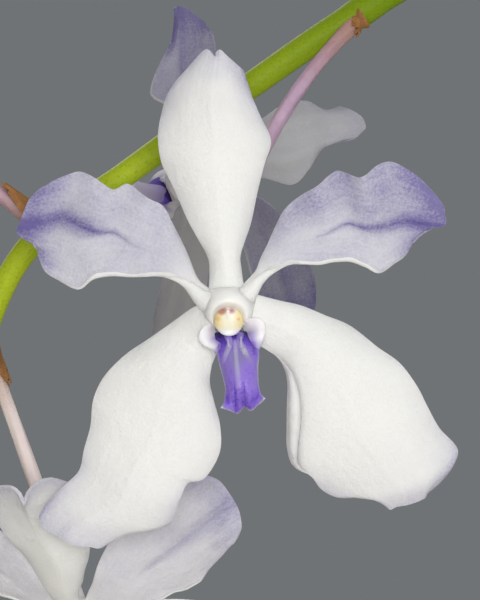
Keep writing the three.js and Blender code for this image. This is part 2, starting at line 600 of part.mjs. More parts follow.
// The point of a tepal at a share across it and a share along it
function tepalPoint(tepal, across, up) {
  const rib = along(tepal.ribs, up);
  const last = tepal.ribs[tepal.ribs.length - 1];
  const edge = along([last.slice(0, 3), ...tepal.tip, last.slice(3, 6)], across);
  const rise = 4 * across * (1 - across) * rib[6];
  return V(...[0, 1, 2].map((k) =>
    mix(rib[k], rib[k + 3], across) +
    (edge[k] - mix(last[k], last[k + 3], across)) * up ** 4 +
    (k === 2 ? rise : 0)));
}

function tepal(outline, lengthways, crossways) {
  const grid = Array.from({ length: lengthways + 1 }, (_, i) =>
    Array.from({ length: crossways + 1 }, (_, j) =>
      tepalPoint(outline, j / crossways, i / lengthways)));
  return plate(grid, TEPAL_THICKNESS);
}

// Bends a tepal forwards, without stretching it
function bend(source, lean) {
  const points = source.getAttribute('position');
  for (let i = 0; i < points.count; i++) {
    const [x, y, z] = [points.getX(i), points.getY(i), points.getZ(i)];
    const reach = Math.hypot(x, y);
    const turn = (lean * reach) / REACH;
    if (Math.abs(turn) < 1e-6) continue;
    const out = Math.sin(turn) / turn - (z * Math.sin(turn)) / reach;
    points.setXYZ(i, x * out, y * out, (reach * (1 - Math.cos(turn))) / turn + z * Math.cos(turn));
  }
  return source;
}

function oval(x, y, halfWidth, halfHeight, z, sides) {
  return Array.from({ length: sides }, (_, i) => {
    const turn = (2 * Math.PI * i) / sides;
    return V(x + halfWidth * Math.cos(turn), y + halfHeight * Math.sin(turn), z);
  });
}

// Moves the points of a bloom's geometry from its own frame to its place on the spike
function onSpike(bloom, source) {
  const face = bloom.face.clone().normalize();
  const up = bloom.up.clone().addScaledVector(face, -bloom.up.dot(face)).normalize();
  const right = up.clone().cross(face);
  const place = new THREE.Matrix4().makeBasis(right, up, face).setPosition(bloom.centre);
  const points = source.getAttribute('position');
  const p = V(0, 0, 0);
  for (let i = 0; i < points.count; i++) {
    p.fromBufferAttribute(points, i);
    p.multiplyScalar(bloom.size).applyMatrix4(place);
    points.setXYZ(i, p.x, p.y, p.z);
  }
  return source;
}

const PETALS = [DORSAL_SEPAL, LEFT_SEPAL, RIGHT_SEPAL, LEFT_PETAL, RIGHT_PETAL];

function stalk(bloom) {
  const { start } = nodeOf(bloom);
  const face = bloom.face.clone().normalize();
  const end = bloom.centre.clone().addScaledVector(face, -1.6 * bloom.size);
  const curve = new THREE.CubicBezierCurve3(
    start, start.clone().addScaledVector(bloom.leave.clone().normalize(), bloom.pull[0]),
    end.clone().addScaledVector(face, -bloom.pull[1]), end);
  return bar(curve, (s) => along(STALK_RADIUS, s), 5, 7);
}

function perianth(bloom) {
  const parts = PETALS.map((outline, k) => bend(tepal(outline, 7, 2), bloom.lean[k]));
  parts.push(loft(COLUMN.map(([x, y, a, b, z]) => oval(x, y, a, b, z, 8))));
  const { x, y, across, up, from } = CAP_SEAT;
  const seat = loft([from, 4.2].map((z) => oval(x, y, across, up, z, 8)));
  const flower = fromSolid(join(parts).subtract(solid(seat)));
  return offSpike(solid(onSpike(bloom, flower)).add(solid(stalk(bloom))));
}

function cap(bloom) {
  const { x, y, across, up } = CAP_SEAT;
  const rings = [-1, 0, 0.85].map((s) => {
    const narrow = Math.sqrt(1 - s * s * 0.96);
    return oval(x, y, (across - GAP) * narrow, (up - GAP) * narrow, CAP.z + s * CAP.depth, 8);
  });
  return onSpike(bloom, loft(rings));
}

function lip(bloom) {
  const spur = bar(route(SPUR_ROUTE), (s) => mix(...SPUR_RADIUS, s), 5, 4);
  const ears = [LEFT_EAR, RIGHT_EAR].map((ear) => bar(route(ear), () => EAR_RADIUS, 4, 2));
  return onSpike(bloom, fromSolid(join([tepal(LIP, 6, 3), spur, ...ears])));
}

function bud({ at, leave, stalk: reach, length, radius: girth }) {
  const { start } = nodeOf({ at, leave });
  const ahead = leave.clone().normalize();
  const end = start.clone().addScaledVector(ahead, reach + length).add(V(0, 0, -1.5));
  const curve = new THREE.CubicBezierCurve3(
    start, start.clone().addScaledVector(ahead, reach * 0.6), end.clone().add(V(0, 0, 0.35 * length)), end);
  const share = reach / (reach + length);
  const profile = (s) => {
    if (s < share) return mix(0.45, 0.7, s / share);
    const inBud = (s - share) / (1 - share);
    return 0.45 + (girth - 0.45) * Math.sin(Math.PI * Math.min(inBud * 0.93 + 0.05, 1)) ** 0.75;
  };
  return offSpike(solid(bar(curve, profile, 7, 11)));
}

// The whole plant

const spikeRoom = spike(GAP);

add('pot', fromSolid(pot()), CLAY);
add('bark_chips', fromSolid(barkBed()), BARK);
add('stem', stem(), STEM_GREEN);
for (let k = 0; k < LEAF_COUNT; k++) {
  const { turn, height } = leafPlace(k);
  const mesh = add(`leaf_${String(k + 1).padStart(2, '0')}`, leaf(k), LEAF_GREEN);
  mesh.rotation.z = turn;
  mesh.position.z = height;
}
ROOTS.forEach((r, k) => add(`root_${k + 1}`, root(r), ROOT_GREY));
add('flower_spike', fromSolid(spike()), SPIKE_GREEN);
BLOOMS.forEach((bloom, k) => {
  add(`bloom_${k + 1}`, fromSolid(perianth(bloom)), PETAL_WHITE);
  add(`bloom_${k + 1}_lip`, lip(bloom), LIP_VIOLET);
  add(`bloom_${k + 1}_anther_cap`, cap(bloom), CAP_CREAM);
});
BUDS.forEach((b, k) => add(`bud_${k + 1}`, fromSolid(bud(b)), BUD_LILAC));

export default plant;
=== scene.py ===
# %% [markdown]
# # A vanda orchid in a clay pot
# A small blue-violet vanda grows on one upright stem, with two rows of strap leaves, thick silvery roots
# and one arching spike of blooms. The measured solids of the plant are loaded first and stay the truth for
# its sizes. Each cell then makes a finer piece of the same form, in the same place, with a living surface
# on it. All sizes are in millimetres, with +Z up and +Y away from someone who looks at the front bloom.

import json
import math
from functools import partial

import bpy
import numpy as np
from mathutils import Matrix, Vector

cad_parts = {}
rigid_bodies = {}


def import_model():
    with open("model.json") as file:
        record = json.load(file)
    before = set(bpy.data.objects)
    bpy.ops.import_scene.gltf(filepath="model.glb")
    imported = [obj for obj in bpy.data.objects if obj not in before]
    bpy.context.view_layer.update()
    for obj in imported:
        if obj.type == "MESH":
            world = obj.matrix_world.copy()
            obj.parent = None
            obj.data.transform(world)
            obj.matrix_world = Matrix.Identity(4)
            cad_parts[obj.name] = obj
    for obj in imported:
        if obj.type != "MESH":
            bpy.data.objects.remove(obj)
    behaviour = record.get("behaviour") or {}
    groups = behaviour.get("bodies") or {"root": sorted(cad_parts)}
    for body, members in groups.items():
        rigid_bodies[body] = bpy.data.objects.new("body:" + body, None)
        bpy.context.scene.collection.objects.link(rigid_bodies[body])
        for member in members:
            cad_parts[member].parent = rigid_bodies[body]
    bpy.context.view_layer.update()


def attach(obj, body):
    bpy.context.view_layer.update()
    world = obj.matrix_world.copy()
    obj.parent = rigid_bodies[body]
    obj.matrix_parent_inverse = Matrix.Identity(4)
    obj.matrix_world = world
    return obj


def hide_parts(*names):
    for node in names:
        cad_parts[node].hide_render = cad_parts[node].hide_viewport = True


for left_over in list(bpy.data.objects):
    bpy.data.objects.remove(left_over)
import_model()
MM = 0.001  # Blender works in metres

# %% [markdown]
# ## Camera
# The photograph is a close-up of the front bloom, taken level and from straight in front with a long lens,
# so nothing looks foreshortened. The bloom is 34 mm wide and fills the frame at 13 pixels to the
# millimetre. A camera 320 mm away with a lens of about 250 mm gives that scale.

# %% The camera
CAMERA_PLACE = (-0.109, -0.342, 0.4006)  # 320 mm in front of the front bloom's face
camera_data = bpy.data.cameras.new("camera")
camera_data.sensor_fit = "VERTICAL"
camera_data.sensor_height = 36
camera_data.lens = 249.4
camera_data.clip_start = 0.01
camera_data.clip_end = 100
camera = bpy.data.objects.new("camera", camera_data)
camera.location = CAMERA_PLACE
camera.rotation_euler = (math.radians(90), 0, 0)
bpy.context.scene.collection.objects.link(camera)
bpy.context.scene.camera = camera
print("camera at", [round(v, 3) for v in camera.location], "m, lens", camera_data.lens, "mm")

# %% [markdown]
# ## Studio
# White tepals vanish on a white page and glare on a black one, so the room is a quiet mid grey. One broad
# light near the camera does the work of a flash, three dimmer ones keep the top, the side and the back
# readable, and a large pale floor throws light up under the leaves. Colours are shown as they are given,
# without a film curve, so that a colour number means what it says.

# %% Floor and lights
def from_hex(colour):
    """An sRGB colour such as #b0663f as the linear red, green, blue and alpha that Blender's sockets want."""
    channels = [int(colour[i : i + 2], 16) / 255 for i in (1, 3, 5)]
    return [c / 12.92 if c <= 0.04045 else ((c + 0.055) / 1.055) ** 2.4 for c in channels] + [1.0]


def add_node(tree, kind, inputs=(), **settings):
    """Adds a node. Settings are its own options. Inputs are values, colours such as #b0663f, nodes or sockets
    for its sockets, in the order that the node shows them or by name. A kind of shader node goes without that
    prefix, a Mix mixes colours, and a Math multiplies unless it is told otherwise."""
    prefix = "" if kind.startswith(("Geometry", "Function", "NodeGroup")) else "ShaderNode"
    made = tree.nodes.new(prefix + kind)
    if kind == "Mix":
        made.data_type = "RGBA"
    if kind == "Math":
        made.operation = "MULTIPLY"
    for name, value in settings.items():
        setattr(made, name, value)
    for name, value in inputs.items() if isinstance(inputs, dict) else enumerate(inputs):
        shown = [s for s in made.inputs if s.enabled]
        target = shown[name] if isinstance(name, int) else next(
            (s for s in shown if s.name == name), made.inputs.get(name)
        )
        if isinstance(value, str) and value.startswith("#"):
            value = from_hex(value)
        if isinstance(value, bpy.types.Node):
            value = next(s for s in value.outputs if s.enabled)
        if isinstance(value, bpy.types.NodeSocket):
            tree.links.new(value, target)
        else:
            target.default_value = value
    return made


def new_material(name, *reads):
    """An empty material, add_node for its tree, and a socket for each thing that it reads: the Object
    coordinates, the UV map, or a number that the mesh keeps at its points."""
    made = bpy.data.materials.new(name)
    made.use_nodes = True
    made.node_tree.nodes.clear()
    add = partial(add_node, made.node_tree)
    sockets = []
    for read in reads:
        if read == "Object":
            sockets.append(add("TexCoord").outputs[read])
        elif read == "UVMap":
            sockets.append(add(read, uv_map=read).outputs["UV"])
        else:
            sockets.append(add("Attribute", attribute_name=read).outputs["Fac"])
    return made, add, *sockets


def paint(add, colour, pattern, first, last, most, tint):
    """Paints a tint over a colour, from nothing where the pattern is at first up to the most where it is at
    last."""
    share = add("MapRange", (pattern, first, last, 0.0, most))
    return add("Mix", (share, colour, tint))


def finish_material(add, surface):
    """Ends a material in a surface: a finished shader, or the inputs of the one that suits most surfaces."""
    if isinstance(surface, dict):
        surface = add("BsdfPrincipled", surface)
    add("OutputMaterial", {"Surface": surface})


floor_paper, add = new_material("matt_grey_paper")
grain = add("TexNoise", {"Scale": 40.0, "Detail": 3.0})
paper_colour = add("Mix", (grain, "#cfccc6", "#d6d3ce"))
finish_material(add, {"Base Color": paper_colour, "Roughness": 0.85})

floor_mesh = bpy.data.meshes.new("floor")
floor_mesh.from_pydata([(-5, -5, 0), (5, -5, 0), (5, 5, 0), (-5, 5, 0)], [], [(0, 1, 2, 3)])
floor_mesh.materials.append(floor_paper)
floor = bpy.data.objects.new("floor", floor_mesh)
floor.location.z = -0.0003
bpy.context.scene.collection.objects.link(floor)

world = bpy.data.worlds.new("grey_room")
world.use_nodes = True
world.node_tree.nodes["Background"].inputs["Color"].default_value = from_hex("#707375")
world.node_tree.nodes["Background"].inputs["Strength"].default_value = 1.0
bpy.context.scene.world = world
bpy.context.scene.view_settings.view_transform = "Standard"

LIT_POINT = (-0.08, 0, 0.33)  # all lights aim at the middle of the blooms
LIGHTS = {  # where it stands, how wide it is, its power in watts, its colour
    "key": ((-0.08, -0.75, 0.43), 0.2, 3.75, "#fffefa"),
    "top": ((0.1, -0.25, 1.6), 1.0, 4.0, "#fffcf6"),
    "side": ((1.2, -0.4, 0.6), 0.9, 2.5, "#f2f4ff"),
    "back": ((-0.7, 1.3, 1.1), 0.9, 8.0, "#fff6ea"),
}
for name, (place, width, watts, colour) in LIGHTS.items():
    data = bpy.data.lights.new(name, "AREA")
    data.size = width
    data.energy = watts
    data.color = from_hex(colour)[:3]
    lamp = bpy.data.objects.new(name, data)
    lamp.location = place
    aim = lamp.location - Vector(LIT_POINT)
    lamp.rotation_euler = aim.to_track_quat("Z", "Y").to_euler()
    lamp.visible_camera = False
    bpy.context.scene.collection.objects.link(lamp)
print("lights:", ", ".join(LIGHTS))

# %% [markdown]
# ## Small shared tools
# A plant has few straight lines. A margin, a vein or a root is drawn by a handful of points, and one smooth
# curve through them gives all that lies between. Most parts of the plant are then one of two things: a thin
# sheet with an edge all round, such as a petal, a bract or a leaf, or a bar that follows a path, such as a
# root or a stalk. The cells below make both once.

# %% Smooth curves through a few points
def mix(a, b, t):
    return a + (b - a) * t


def smoothstep(t):
    t = np.clip(t, 0, 1)
    return t * t * (3 - 2 * t)


def along(rows, share):
    """Numbers or rows of numbers at shares from 0 to 1 of a list, on a smooth curve through the list."""
    rows = np.asarray(rows, float)
    share = np.clip(np.asarray(share, float), 0, 1)
    place = share * (len(rows) - 1)
    first = np.minimum(place.astype(int), len(rows) - 2)
    t = (place - first).reshape(share.shape + (1,) * (rows.ndim - 1))
    p, q, r, s = (rows[np.clip(first + k, 0, len(rows) - 1)] for k in (-1, 0, 1, 2))
    return q + 0.5 * t * (r - p + t * (2 * p - 5 * q + 4 * r - s + t * (3 * (q - r) + s - p)))


def route(points, shares):
    """Places on a curve that runs smoothly through points that lie unevenly far apart."""
    points = np.asarray(points, float)
    padded = np.vstack([2 * points[0] - points[1], points, 2 * points[-1] - points[-2]])
    found = []
    for share in np.atleast_1d(shares):
        place = min(max(share, 0.0), 1.0) * (len(points) - 1)
        i = min(int(place), len(points) - 2)
        t = place - i
        a, b, c, d = padded[i : i + 4]
        ab, bc, cd = (max(((w - v) ** 2).sum(), 1e-8) ** 0.25 for v, w in ((a, b), (b, c), (c, d)))
        leave = ((b - a) / ab - (c - a) / (ab + bc) + (c - b) / bc) * bc
        arrive = ((c - b) / bc - (d - b) / (bc + cd) + (d - c) / cd) * bc
        found.append(
            b + leave * t + (3 * (c - b) - 2 * leave - arrive) * t**2 + (2 * (b - c) + leave + arrive) * t**3
        )
    return np.array(found)


def unit(v):
    v = np.asarray(v, float)
    return v / np.maximum(np.linalg.norm(v, axis=-1, keepdims=True), 1e-12)


def ripple(points, size, seed, waves=9):
    """A smooth unevenness of about -1 to 1 whose lumps are about size mm wide. The same seed repeats it."""
    dice = np.random.default_rng(seed)
    ways = unit(dice.normal(size=(waves, 3))) * (np.pi / size) * dice.uniform(0.6, 1.5, (waves, 1))
    return 0.45 * np.sin(np.asarray(points) @ ways.T + dice.uniform(0, 2 * np.pi, waves)).sum(-1)


print("halfway from 0 to 10 over 4:", along([0, 4, 10], 0.5))

# %% Thin sheets, lathe shapes and finished pieces
def part(points, faces, skin, uv=None, **marks):
    """Points in mm, faces, the material, and what the material reads from each point."""
    points = np.asarray(points, float).reshape(-1, 3)
    return {"points": points, "faces": faces, "skin": skin, "uv": uv, "marks": marks}


def strip(first, second, closed=False):
    """Four-cornered faces between two rows of point numbers."""
    n = len(first)
    a, b = np.arange(n - (not closed)), (np.arange(n - (not closed)) + 1) % n
    return np.stack([first[a], first[b], second[b], second[a]], 1)


def sheet(grid, thickness, skin, uv, front=None, back=None):
    """A closed thin sheet round a grid of points. Front and back are what the material reads on each side."""
    rows, columns, _ = grid.shape
    facing = unit(np.cross(np.gradient(grid, axis=0), np.gradient(grid, axis=1)))
    half = facing * (thickness / 2)[..., None]
    number = np.arange(rows * columns).reshape(rows, columns)
    under = number + rows * columns
    top = np.stack([number[:-1, :-1], number[1:, :-1], number[1:, 1:], number[:-1, 1:]], -1).reshape(-1, 4)
    bottom = (top + rows * columns)[:, ::-1]
    rim = [
        strip(number[:, 0], under[:, 0])[:, ::-1],
        strip(number[:, -1], under[:, -1]),
        strip(number[0], under[0]),
        strip(number[-1], under[-1])[:, ::-1],
    ]
    marks = {k: np.concatenate([np.ravel(front[k]), np.ravel(back[k])]) for k in (front or {})}
    points = np.concatenate([(grid + half).reshape(-1, 3), (grid - half).reshape(-1, 3)])
    flat = uv.reshape(-1, 2)
    return part(points, [top, bottom, np.concatenate(rim)], skin, np.concatenate([flat, flat]), **marks)


def loft(rings, skin, caps=True, uv=None, **marks):
    """A closed skin over rings of points, each with as many points as the next, fanned shut at both ends."""
    rings = np.asarray(rings, float)
    count, n, _ = rings.shape
    number = np.arange(count * n).reshape(count, n)
    faces = [np.concatenate([strip(number[i], number[i + 1], True) for i in range(count - 1)])]
    points = rings.reshape(-1, 3)
    if caps:
        points = np.concatenate([points, [rings[0].mean(0), rings[-1].mean(0)]])
        a, b = np.arange(n), (np.arange(n) + 1) % n
        low, high = np.full(n, count * n), np.full(n, count * n + 1)
        faces.append(np.stack([low, b, a], 1))
        faces.append(np.stack([high, number[-1][a], number[-1][b]], 1))
        marks = {k: np.concatenate([np.ravel(v), [np.ravel(v)[0], np.ravel(v)[-1]]]) for k,
            v in marks.items()}
        if uv is not None:
            uv = np.concatenate([uv.reshape(-1, 2),
                [uv.reshape(-1, 2)[:n].mean(0), uv.reshape(-1, 2)[-n:].mean(0)]])
    return part(points, faces, skin, uv, **marks)


def lathe(profile, sides, skin):
    """Turns a profile of radius and height about the Z axis, as clay turns on a wheel."""
    profile = np.asarray(profile, float)
    turn = np.linspace(0, 2 * np.pi, sides, endpoint=False)
    rings = [np.stack([r * np.cos(turn), r * np.sin(turn), np.full(sides, z)], 1) for r, z in profile]
    return loft(rings, skin)


def piece(name, parts, stands_for=(), smooth_under=40):
    """Joins parts into one object in its place, fixes it to the root body and hides the measured parts that
    it stands for.
    """
    skins = []
    points, faces, skin_of, uv = [], [], [], []
    marks = {k: [] for p in parts for k in p["marks"]}
    start = 0
    for p in parts:
        if p["skin"] not in skins:
            skins.append(p["skin"])
        count = len(p["points"])
        for group in p["faces"]:
            faces += (np.asarray(group) + start).tolist()
            skin_of += [skins.index(p["skin"])] * len(group)
        points.append(p["points"])
        uv.append(np.zeros((count, 2)) if p["uv"] is None else np.asarray(p["uv"], float).reshape(-1, 2))
        for k in marks:
            marks[k].append(np.asarray(p["marks"].get(k, np.zeros(count)), float).ravel())
        start += count
    mesh = bpy.data.meshes.new(name)
    mesh.from_pydata((np.concatenate(points) * MM).tolist(), [], faces)
    mesh.polygons.foreach_set("material_index", skin_of)
    corners = np.empty(len(mesh.loops), int)
    mesh.loops.foreach_get("vertex_index", corners)
    mesh.uv_layers.new(name="UVMap").data.foreach_set("uv", np.concatenate(uv)[corners].ravel())
    for k, values in marks.items():
        mesh.attributes.new(k, "FLOAT", "POINT").data.foreach_set("value", np.concatenate(values))
    for skin in skins:
        mesh.materials.append(skin)
    mesh.validate()
    mesh.polygons.foreach_set("use_smooth", [True] * len(mesh.polygons))
    mesh.set_sharp_from_angle(angle=math.radians(smooth_under))
    made = bpy.data.objects.new(name, mesh)
    bpy.context.scene.collection.objects.link(made)
    return settle(made, stands_for)


def settle(made, stands_for=()):
    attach(made, "root")
    if stands_for:
        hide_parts(*stands_for)
    return made


made_pieces = []

# %% [markdown]
# ## A bar that follows a path
# Roots, the spike, its stalks and the spurs are all round bars with a path of their own, and only the
# girth, the ribs and the roughness of their skin differ. That is a rule, so Geometry Nodes make it once.
# The tree sweeps a circle along a path. The path brings its girth with it at each point, and the circle
# brings the direction round the bar, which the skins use so that streaks run lengthways on every bend.

# %% The sweep
def new_tree(name, inputs):
    tree = bpy.data.node_groups.new(name, "GeometryNodeTree")
    for label, kind in inputs.items():
        tree.interface.new_socket(label, in_out="INPUT", socket_type="NodeSocket" + kind)
    tree.interface.new_socket("Result", in_out="OUTPUT", socket_type="NodeSocketGeometry")
    add = partial(add_node, tree)
    return tree, add, add("NodeGroupInput").outputs


sweep_tree, add, given = new_tree(
    "sweep_along_path",
    {
        "Path": "Geometry", "Sides": "Int", "Ribs": "Int", "Rib Depth": "Float", "Twist": "Float",
        "Lump Size": "Float", "Lump Depth": "Float", "Seed": "Float", "Skin": "Material",
    },
)
line = add("GeometryNodeMeshToCurve", {"Mesh": given["Path"]})
run = add("GeometryNodeSplineParameter")
twist = add("Math", (run.outputs["Factor"], given["Twist"]))
line = add("GeometryNodeSetCurveTilt", {"Curve": line, "Tilt": twist})
circle = add("GeometryNodeCurvePrimitiveCircle", {"Resolution": given["Sides"], "Radius": 1.0})
place = add("GeometryNodeInputPosition")
split = add("SeparateXYZ", (place,))
angle = add("Math", (split.outputs["Y"], split.outputs["X"]), operation="ARCTAN2")
wave = add("Math", (angle, given["Ribs"]))
wave = add("Math", (wave,), operation="COSINE")
grow = add("Math", (wave, given["Rib Depth"], 1.0), operation="MULTIPLY_ADD")
ribbed = add("VectorMath", (place, grow), operation="SCALE")
marked = add("GeometryNodeStoreNamedAttribute", {"Geometry": circle, "Name": "around", "Value": place},
    data_type="FLOAT_VECTOR", domain="POINT")
profile = add("GeometryNodeSetPosition", {"Geometry": marked, "Position": ribbed})
girth = add("GeometryNodeInputNamedAttribute", {"Name": "girth"}, data_type="FLOAT")
bar = add("GeometryNodeCurveToMesh", {"Curve": line, "Profile Curve": profile, "Scale": girth,
    "Fill Caps": True})
lump_scale = add("Math", (1.0, given["Lump Size"]), operation="DIVIDE")
lumps = add("TexNoise", {"W": given["Seed"], "Scale": lump_scale, "Detail": 2.0}, noise_dimensions="4D")
lift = add("Math", (lumps, 0.5), operation="SUBTRACT")
lift = add("Math", (lift, given["Lump Depth"]))
facing = add("GeometryNodeInputNormal")
push = add("VectorMath", (facing, lift), operation="SCALE")
bar = add("GeometryNodeSetPosition", {"Geometry": bar, "Offset": push})
bar = add("GeometryNodeRealizeInstances", {"Geometry": bar})
bar = add("GeometryNodeSetMaterial", {"Geometry": bar, "Material": given["Skin"]})
add("NodeGroupOutput", {"Result": bar})


def grown(source, tree, values):
    """Runs a node tree on an object with named values and returns the result as a plain mesh."""
    modifier = source.modifiers.new("grow", "NODES")
    modifier.node_group = tree
    for item in tree.interface.items_tree:
        if item.in_out == "INPUT" and item.name in values:
            modifier[item.identifier] = values[item.name]
    bpy.context.view_layer.update()
    seen = source.evaluated_get(bpy.context.evaluated_depsgraph_get())
    mesh = bpy.data.meshes.new_from_object(seen)
    source.modifiers.remove(modifier)
    return mesh


def read_part(mesh, skin):
    """A plain mesh as a part that can be joined with others."""
    points = np.empty(len(mesh.vertices) * 3)
    mesh.vertices.foreach_get("co", points)
    sizes = np.empty(len(mesh.polygons), int)
    mesh.polygons.foreach_get("loop_total", sizes)
    starts = np.empty(len(mesh.polygons), int)
    mesh.polygons.foreach_get("loop_start", starts)
    corners = np.empty(len(mesh.loops), int)
    mesh.loops.foreach_get("vertex_index", corners)
    faces = [corners[starts[sizes == n][:, None] + np.arange(n)] for n in np.unique(sizes)]
    marks = {}
    for layer in mesh.attributes:
        if layer.domain == "POINT" and layer.data_type == "FLOAT":
            values = np.empty(len(mesh.vertices))
            layer.data.foreach_get("value", values)
            marks[layer.name] = values
        elif layer.name == "around":
            values = np.empty(len(mesh.vertices) * 3)
            layer.data.foreach_get("vector", values)
            marks["around_x"], marks["around_y"] = values.reshape(-1, 3)[:, 0], values.reshape(-1, 3)[:, 1]
    return part(points.reshape(-1, 3) / MM, faces, skin, None, **marks)


def sweep(points, girths, skin, sides=16, ribs=0, rib_depth=0.0, twist=0.0, lump=(4.0, 0.0), seed=0.0,
    **marks):
    """A bar along a row of points in mm, with its girth as a radius in mm at each of them."""
    mesh = bpy.data.meshes.new("path")
    mesh.from_pydata((np.asarray(points) * MM).tolist(), [(i, i + 1) for i in range(len(points) - 1)], [])
    steps = np.linalg.norm(np.diff(points, axis=0), axis=1)
    length = np.concatenate([[0], np.cumsum(steps)])
    marks = {"girth": np.asarray(girths) * MM, "run": length, "share": length / length[-1], **marks}
    for k, values in marks.items():
        mesh.attributes.new(k, "FLOAT", "POINT").data.foreach_set("value", np.asarray(values, float))
    source = bpy.data.objects.new("path", mesh)
    bpy.context.scene.collection.objects.link(source)
    result = grown(
        source, sweep_tree,
        {
            "Sides": sides, "Ribs": ribs, "Rib Depth": rib_depth, "Twist": twist, "Lump Size": lump[0] * MM,
            "Lump Depth": lump[1] * MM, "Seed": seed, "Skin": skin,
        },
    )
    made = read_part(result, skin)
    made["marks"].pop("girth", None)
    bpy.data.objects.remove(source)
    bpy.data.meshes.remove(result)
    return made


def round_ends(girths, points, first=True, last=True):
    """Draws a bar in to a dome at its ends."""
    steps = np.linalg.norm(np.diff(points, axis=0), axis=1)
    run = np.concatenate([[0], np.cumsum(steps)])
    girths = np.array(girths, float)
    for wanted, distance in ((first, run), (last, run[-1] - run)):
        if wanted:
            reach = girths[0] if distance is run else girths[-1]
            inside = np.clip(1 - distance / (reach * 1.1), 0, 1)
            girths = girths * np.sqrt(np.maximum(1 - inside**2, 0.0009))
    return girths


# %% [markdown]
# ## The clay pot
# An orchid pot is plain red earthenware, thrown or pressed, fired low and left unglazed so that it
# breathes. It is a turned shape: a leaning wall, a thick collar for a rim, a soft inner lip. Turning a
# profile round the axis gives it exactly. The holes in the floor are drilled afterwards with a Boolean, as
# a potter cuts them from the soft clay. Old pots are never one colour: lime from the water blooms white on
# the damp wall, the foot is darker, and green algae settles in the shade under the rim.

# %% Fired clay
POT_HEIGHT, POT_FOOT, POT_SHOULDER, POT_RIM, POT_RIM_HEIGHT = 125.0, 52.0, 67.0, 73.0, 22.0
POT_WALL, POT_FLOOR = 6.0, 8.0
DRAIN_RADIUS, DRAIN_CIRCLE = 6.0, 26.0

clay, add, here = new_material("red_earthenware_fired_unglazed", "Object")
height = add("SeparateXYZ", (here,)).outputs["Z"]
# Fired clay varies from orange to brown over a few centimetres, with sand grains of under a millimetre.
cloud = add("TexNoise", (here, 28.0, 5.0, 0.6))
cloud_range = add("MapRange", (cloud, 0.35, 0.68))
body_colour = add("Mix", (cloud_range, "#a3522f", "#bf7048"))
sand = add("TexNoise", (here, 1500.0, 2.0))
body_colour = paint(add, body_colour, sand, 0.56, 0.7, 0.35, "#d9a077")
# The lower wall stays damp and dark.
damp = add("MapRange", (height, 0.045, 0.0, 0.0, 0.55))
body_colour = add("Mix", (damp, body_colour, "#7c3f27"))
# Lime dries out in soft white clouds, strongest in a belt around the middle of the wall.
lime = add("TexNoise", {"Vector": here, "Scale": 45.0, "Detail": 8.0, "Roughness": 0.68, "Distortion": 0.6})
lime_range = add("MapRange", (lime, 0.5, 0.72))
belt = add("MapRange", (height, 0.01, 0.05))
belt_top = add("MapRange", (height, 0.125, 0.085))
lime_share = add("Math", (lime_range, belt))
lime_here = add("Math", (lime_share, belt_top))
lime_part = add("Math", (lime_here, 0.55))
body_colour = add("Mix", (lime_part, body_colour, "#d8c9b8"))
# Algae grows in the groove under the collar.
algae = add("TexNoise", (here, 60.0, 6.0, 0.7))
algae_range = add("MapRange", (algae, 0.52, 0.7, 0.0, 0.6))
under_rim = add("MapRange", (height, 0.078, 0.104))
over_rim = add("MapRange", (height, 0.109, 0.104))
groove = add("Math", (under_rim, over_rim))
algae_here = add("Math", (algae_range, groove))
body_colour = add("Mix", (algae_here, body_colour, "#5c6238"))
# Throwing rings about 4 mm apart, and the sand, roughen the skin.
rings = add("TexWave", {"Vector": here, "Scale": 80.0, "Distortion": 1.2, "Detail": 2.0,
    "Detail Scale": 0.3}, bands_direction="Z")
ring_bump = add("Bump", {"Strength": 0.25, "Distance": 0.0004, "Height": rings})
sand_bump = add("Bump", {"Strength": 0.5, "Distance": 0.0002, "Height": sand, "Normal": ring_bump})
finish_material(add, {"Base Color": body_colour, "Roughness": 0.88, "IOR": 1.5,
    "Normal": sand_bump})

# %% Throwing and drilling the pot
def pot_inside(z):
    return mix(POT_FOOT, POT_SHOULDER, z / POT_HEIGHT) - POT_WALL


def corner_arc(before, corner, after, radius, steps=5):
    """Rounds one corner of a profile."""
    before, corner, after = (np.array(p, float) for p in (before, corner, after))
    start = corner + unit(before - corner) * radius
    end = corner + unit(after - corner) * radius
    t = np.linspace(0, 1, steps + 1)[:, None]
    return (1 - t) ** 2 * start + 2 * t * (1 - t) * corner + t**2 * end


rim_foot = POT_HEIGHT - POT_RIM_HEIGHT
shoulder = mix(POT_FOOT, POT_SHOULDER, rim_foot / POT_HEIGHT)
corners = [
    ((0, 0), None), ((POT_FOOT, 0), 1.6), ((shoulder, rim_foot), 1.2),
    ((POT_RIM - 0.4, rim_foot + 0.4), 1.4),
    ((POT_RIM, POT_HEIGHT), 2.6), ((pot_inside(POT_HEIGHT), POT_HEIGHT), 1.9),
    ((pot_inside(POT_FLOOR), POT_FLOOR), 3.0), ((0, POT_FLOOR), None),
]
profile = []
for k, (corner, radius) in enumerate(corners):
    if radius is None:
        profile.append(np.array([[0.02, corner[1]]], float))
    else:
        profile.append(corner_arc(corners[k - 1][0], corner, corners[k + 1][0], radius))
profile = np.concatenate(profile)
fine = [profile[0]]
for a, b in zip(profile, profile[1:]):
    steps = max(1, int(np.linalg.norm(b - a) / 5))
    fine += [mix(a, b, (i + 1) / steps) for i in range(steps)]
pot_part = lathe(fine, 132, clay)
outwards = unit(pot_part["points"] * [1, 1, 0])
pot_part["points"] += outwards * 0.22 * ripple(pot_part["points"] * [1, 1, 2.2], 34, 3)[:, None]
pot = piece("pot_fired", [pot_part], ["pot"], smooth_under=50)
drills = [lathe([(0.02, -6), (DRAIN_RADIUS, -6), (DRAIN_RADIUS, 14), (0.02, 14)], 28,
    clay) for _ in range(4)]
for k, drill in enumerate(drills):
    turn = math.pi * (k + 0.5) / 2
    drill["points"] += [DRAIN_CIRCLE * math.cos(turn), DRAIN_CIRCLE * math.sin(turn), 0]
drill = piece("drills", drills)
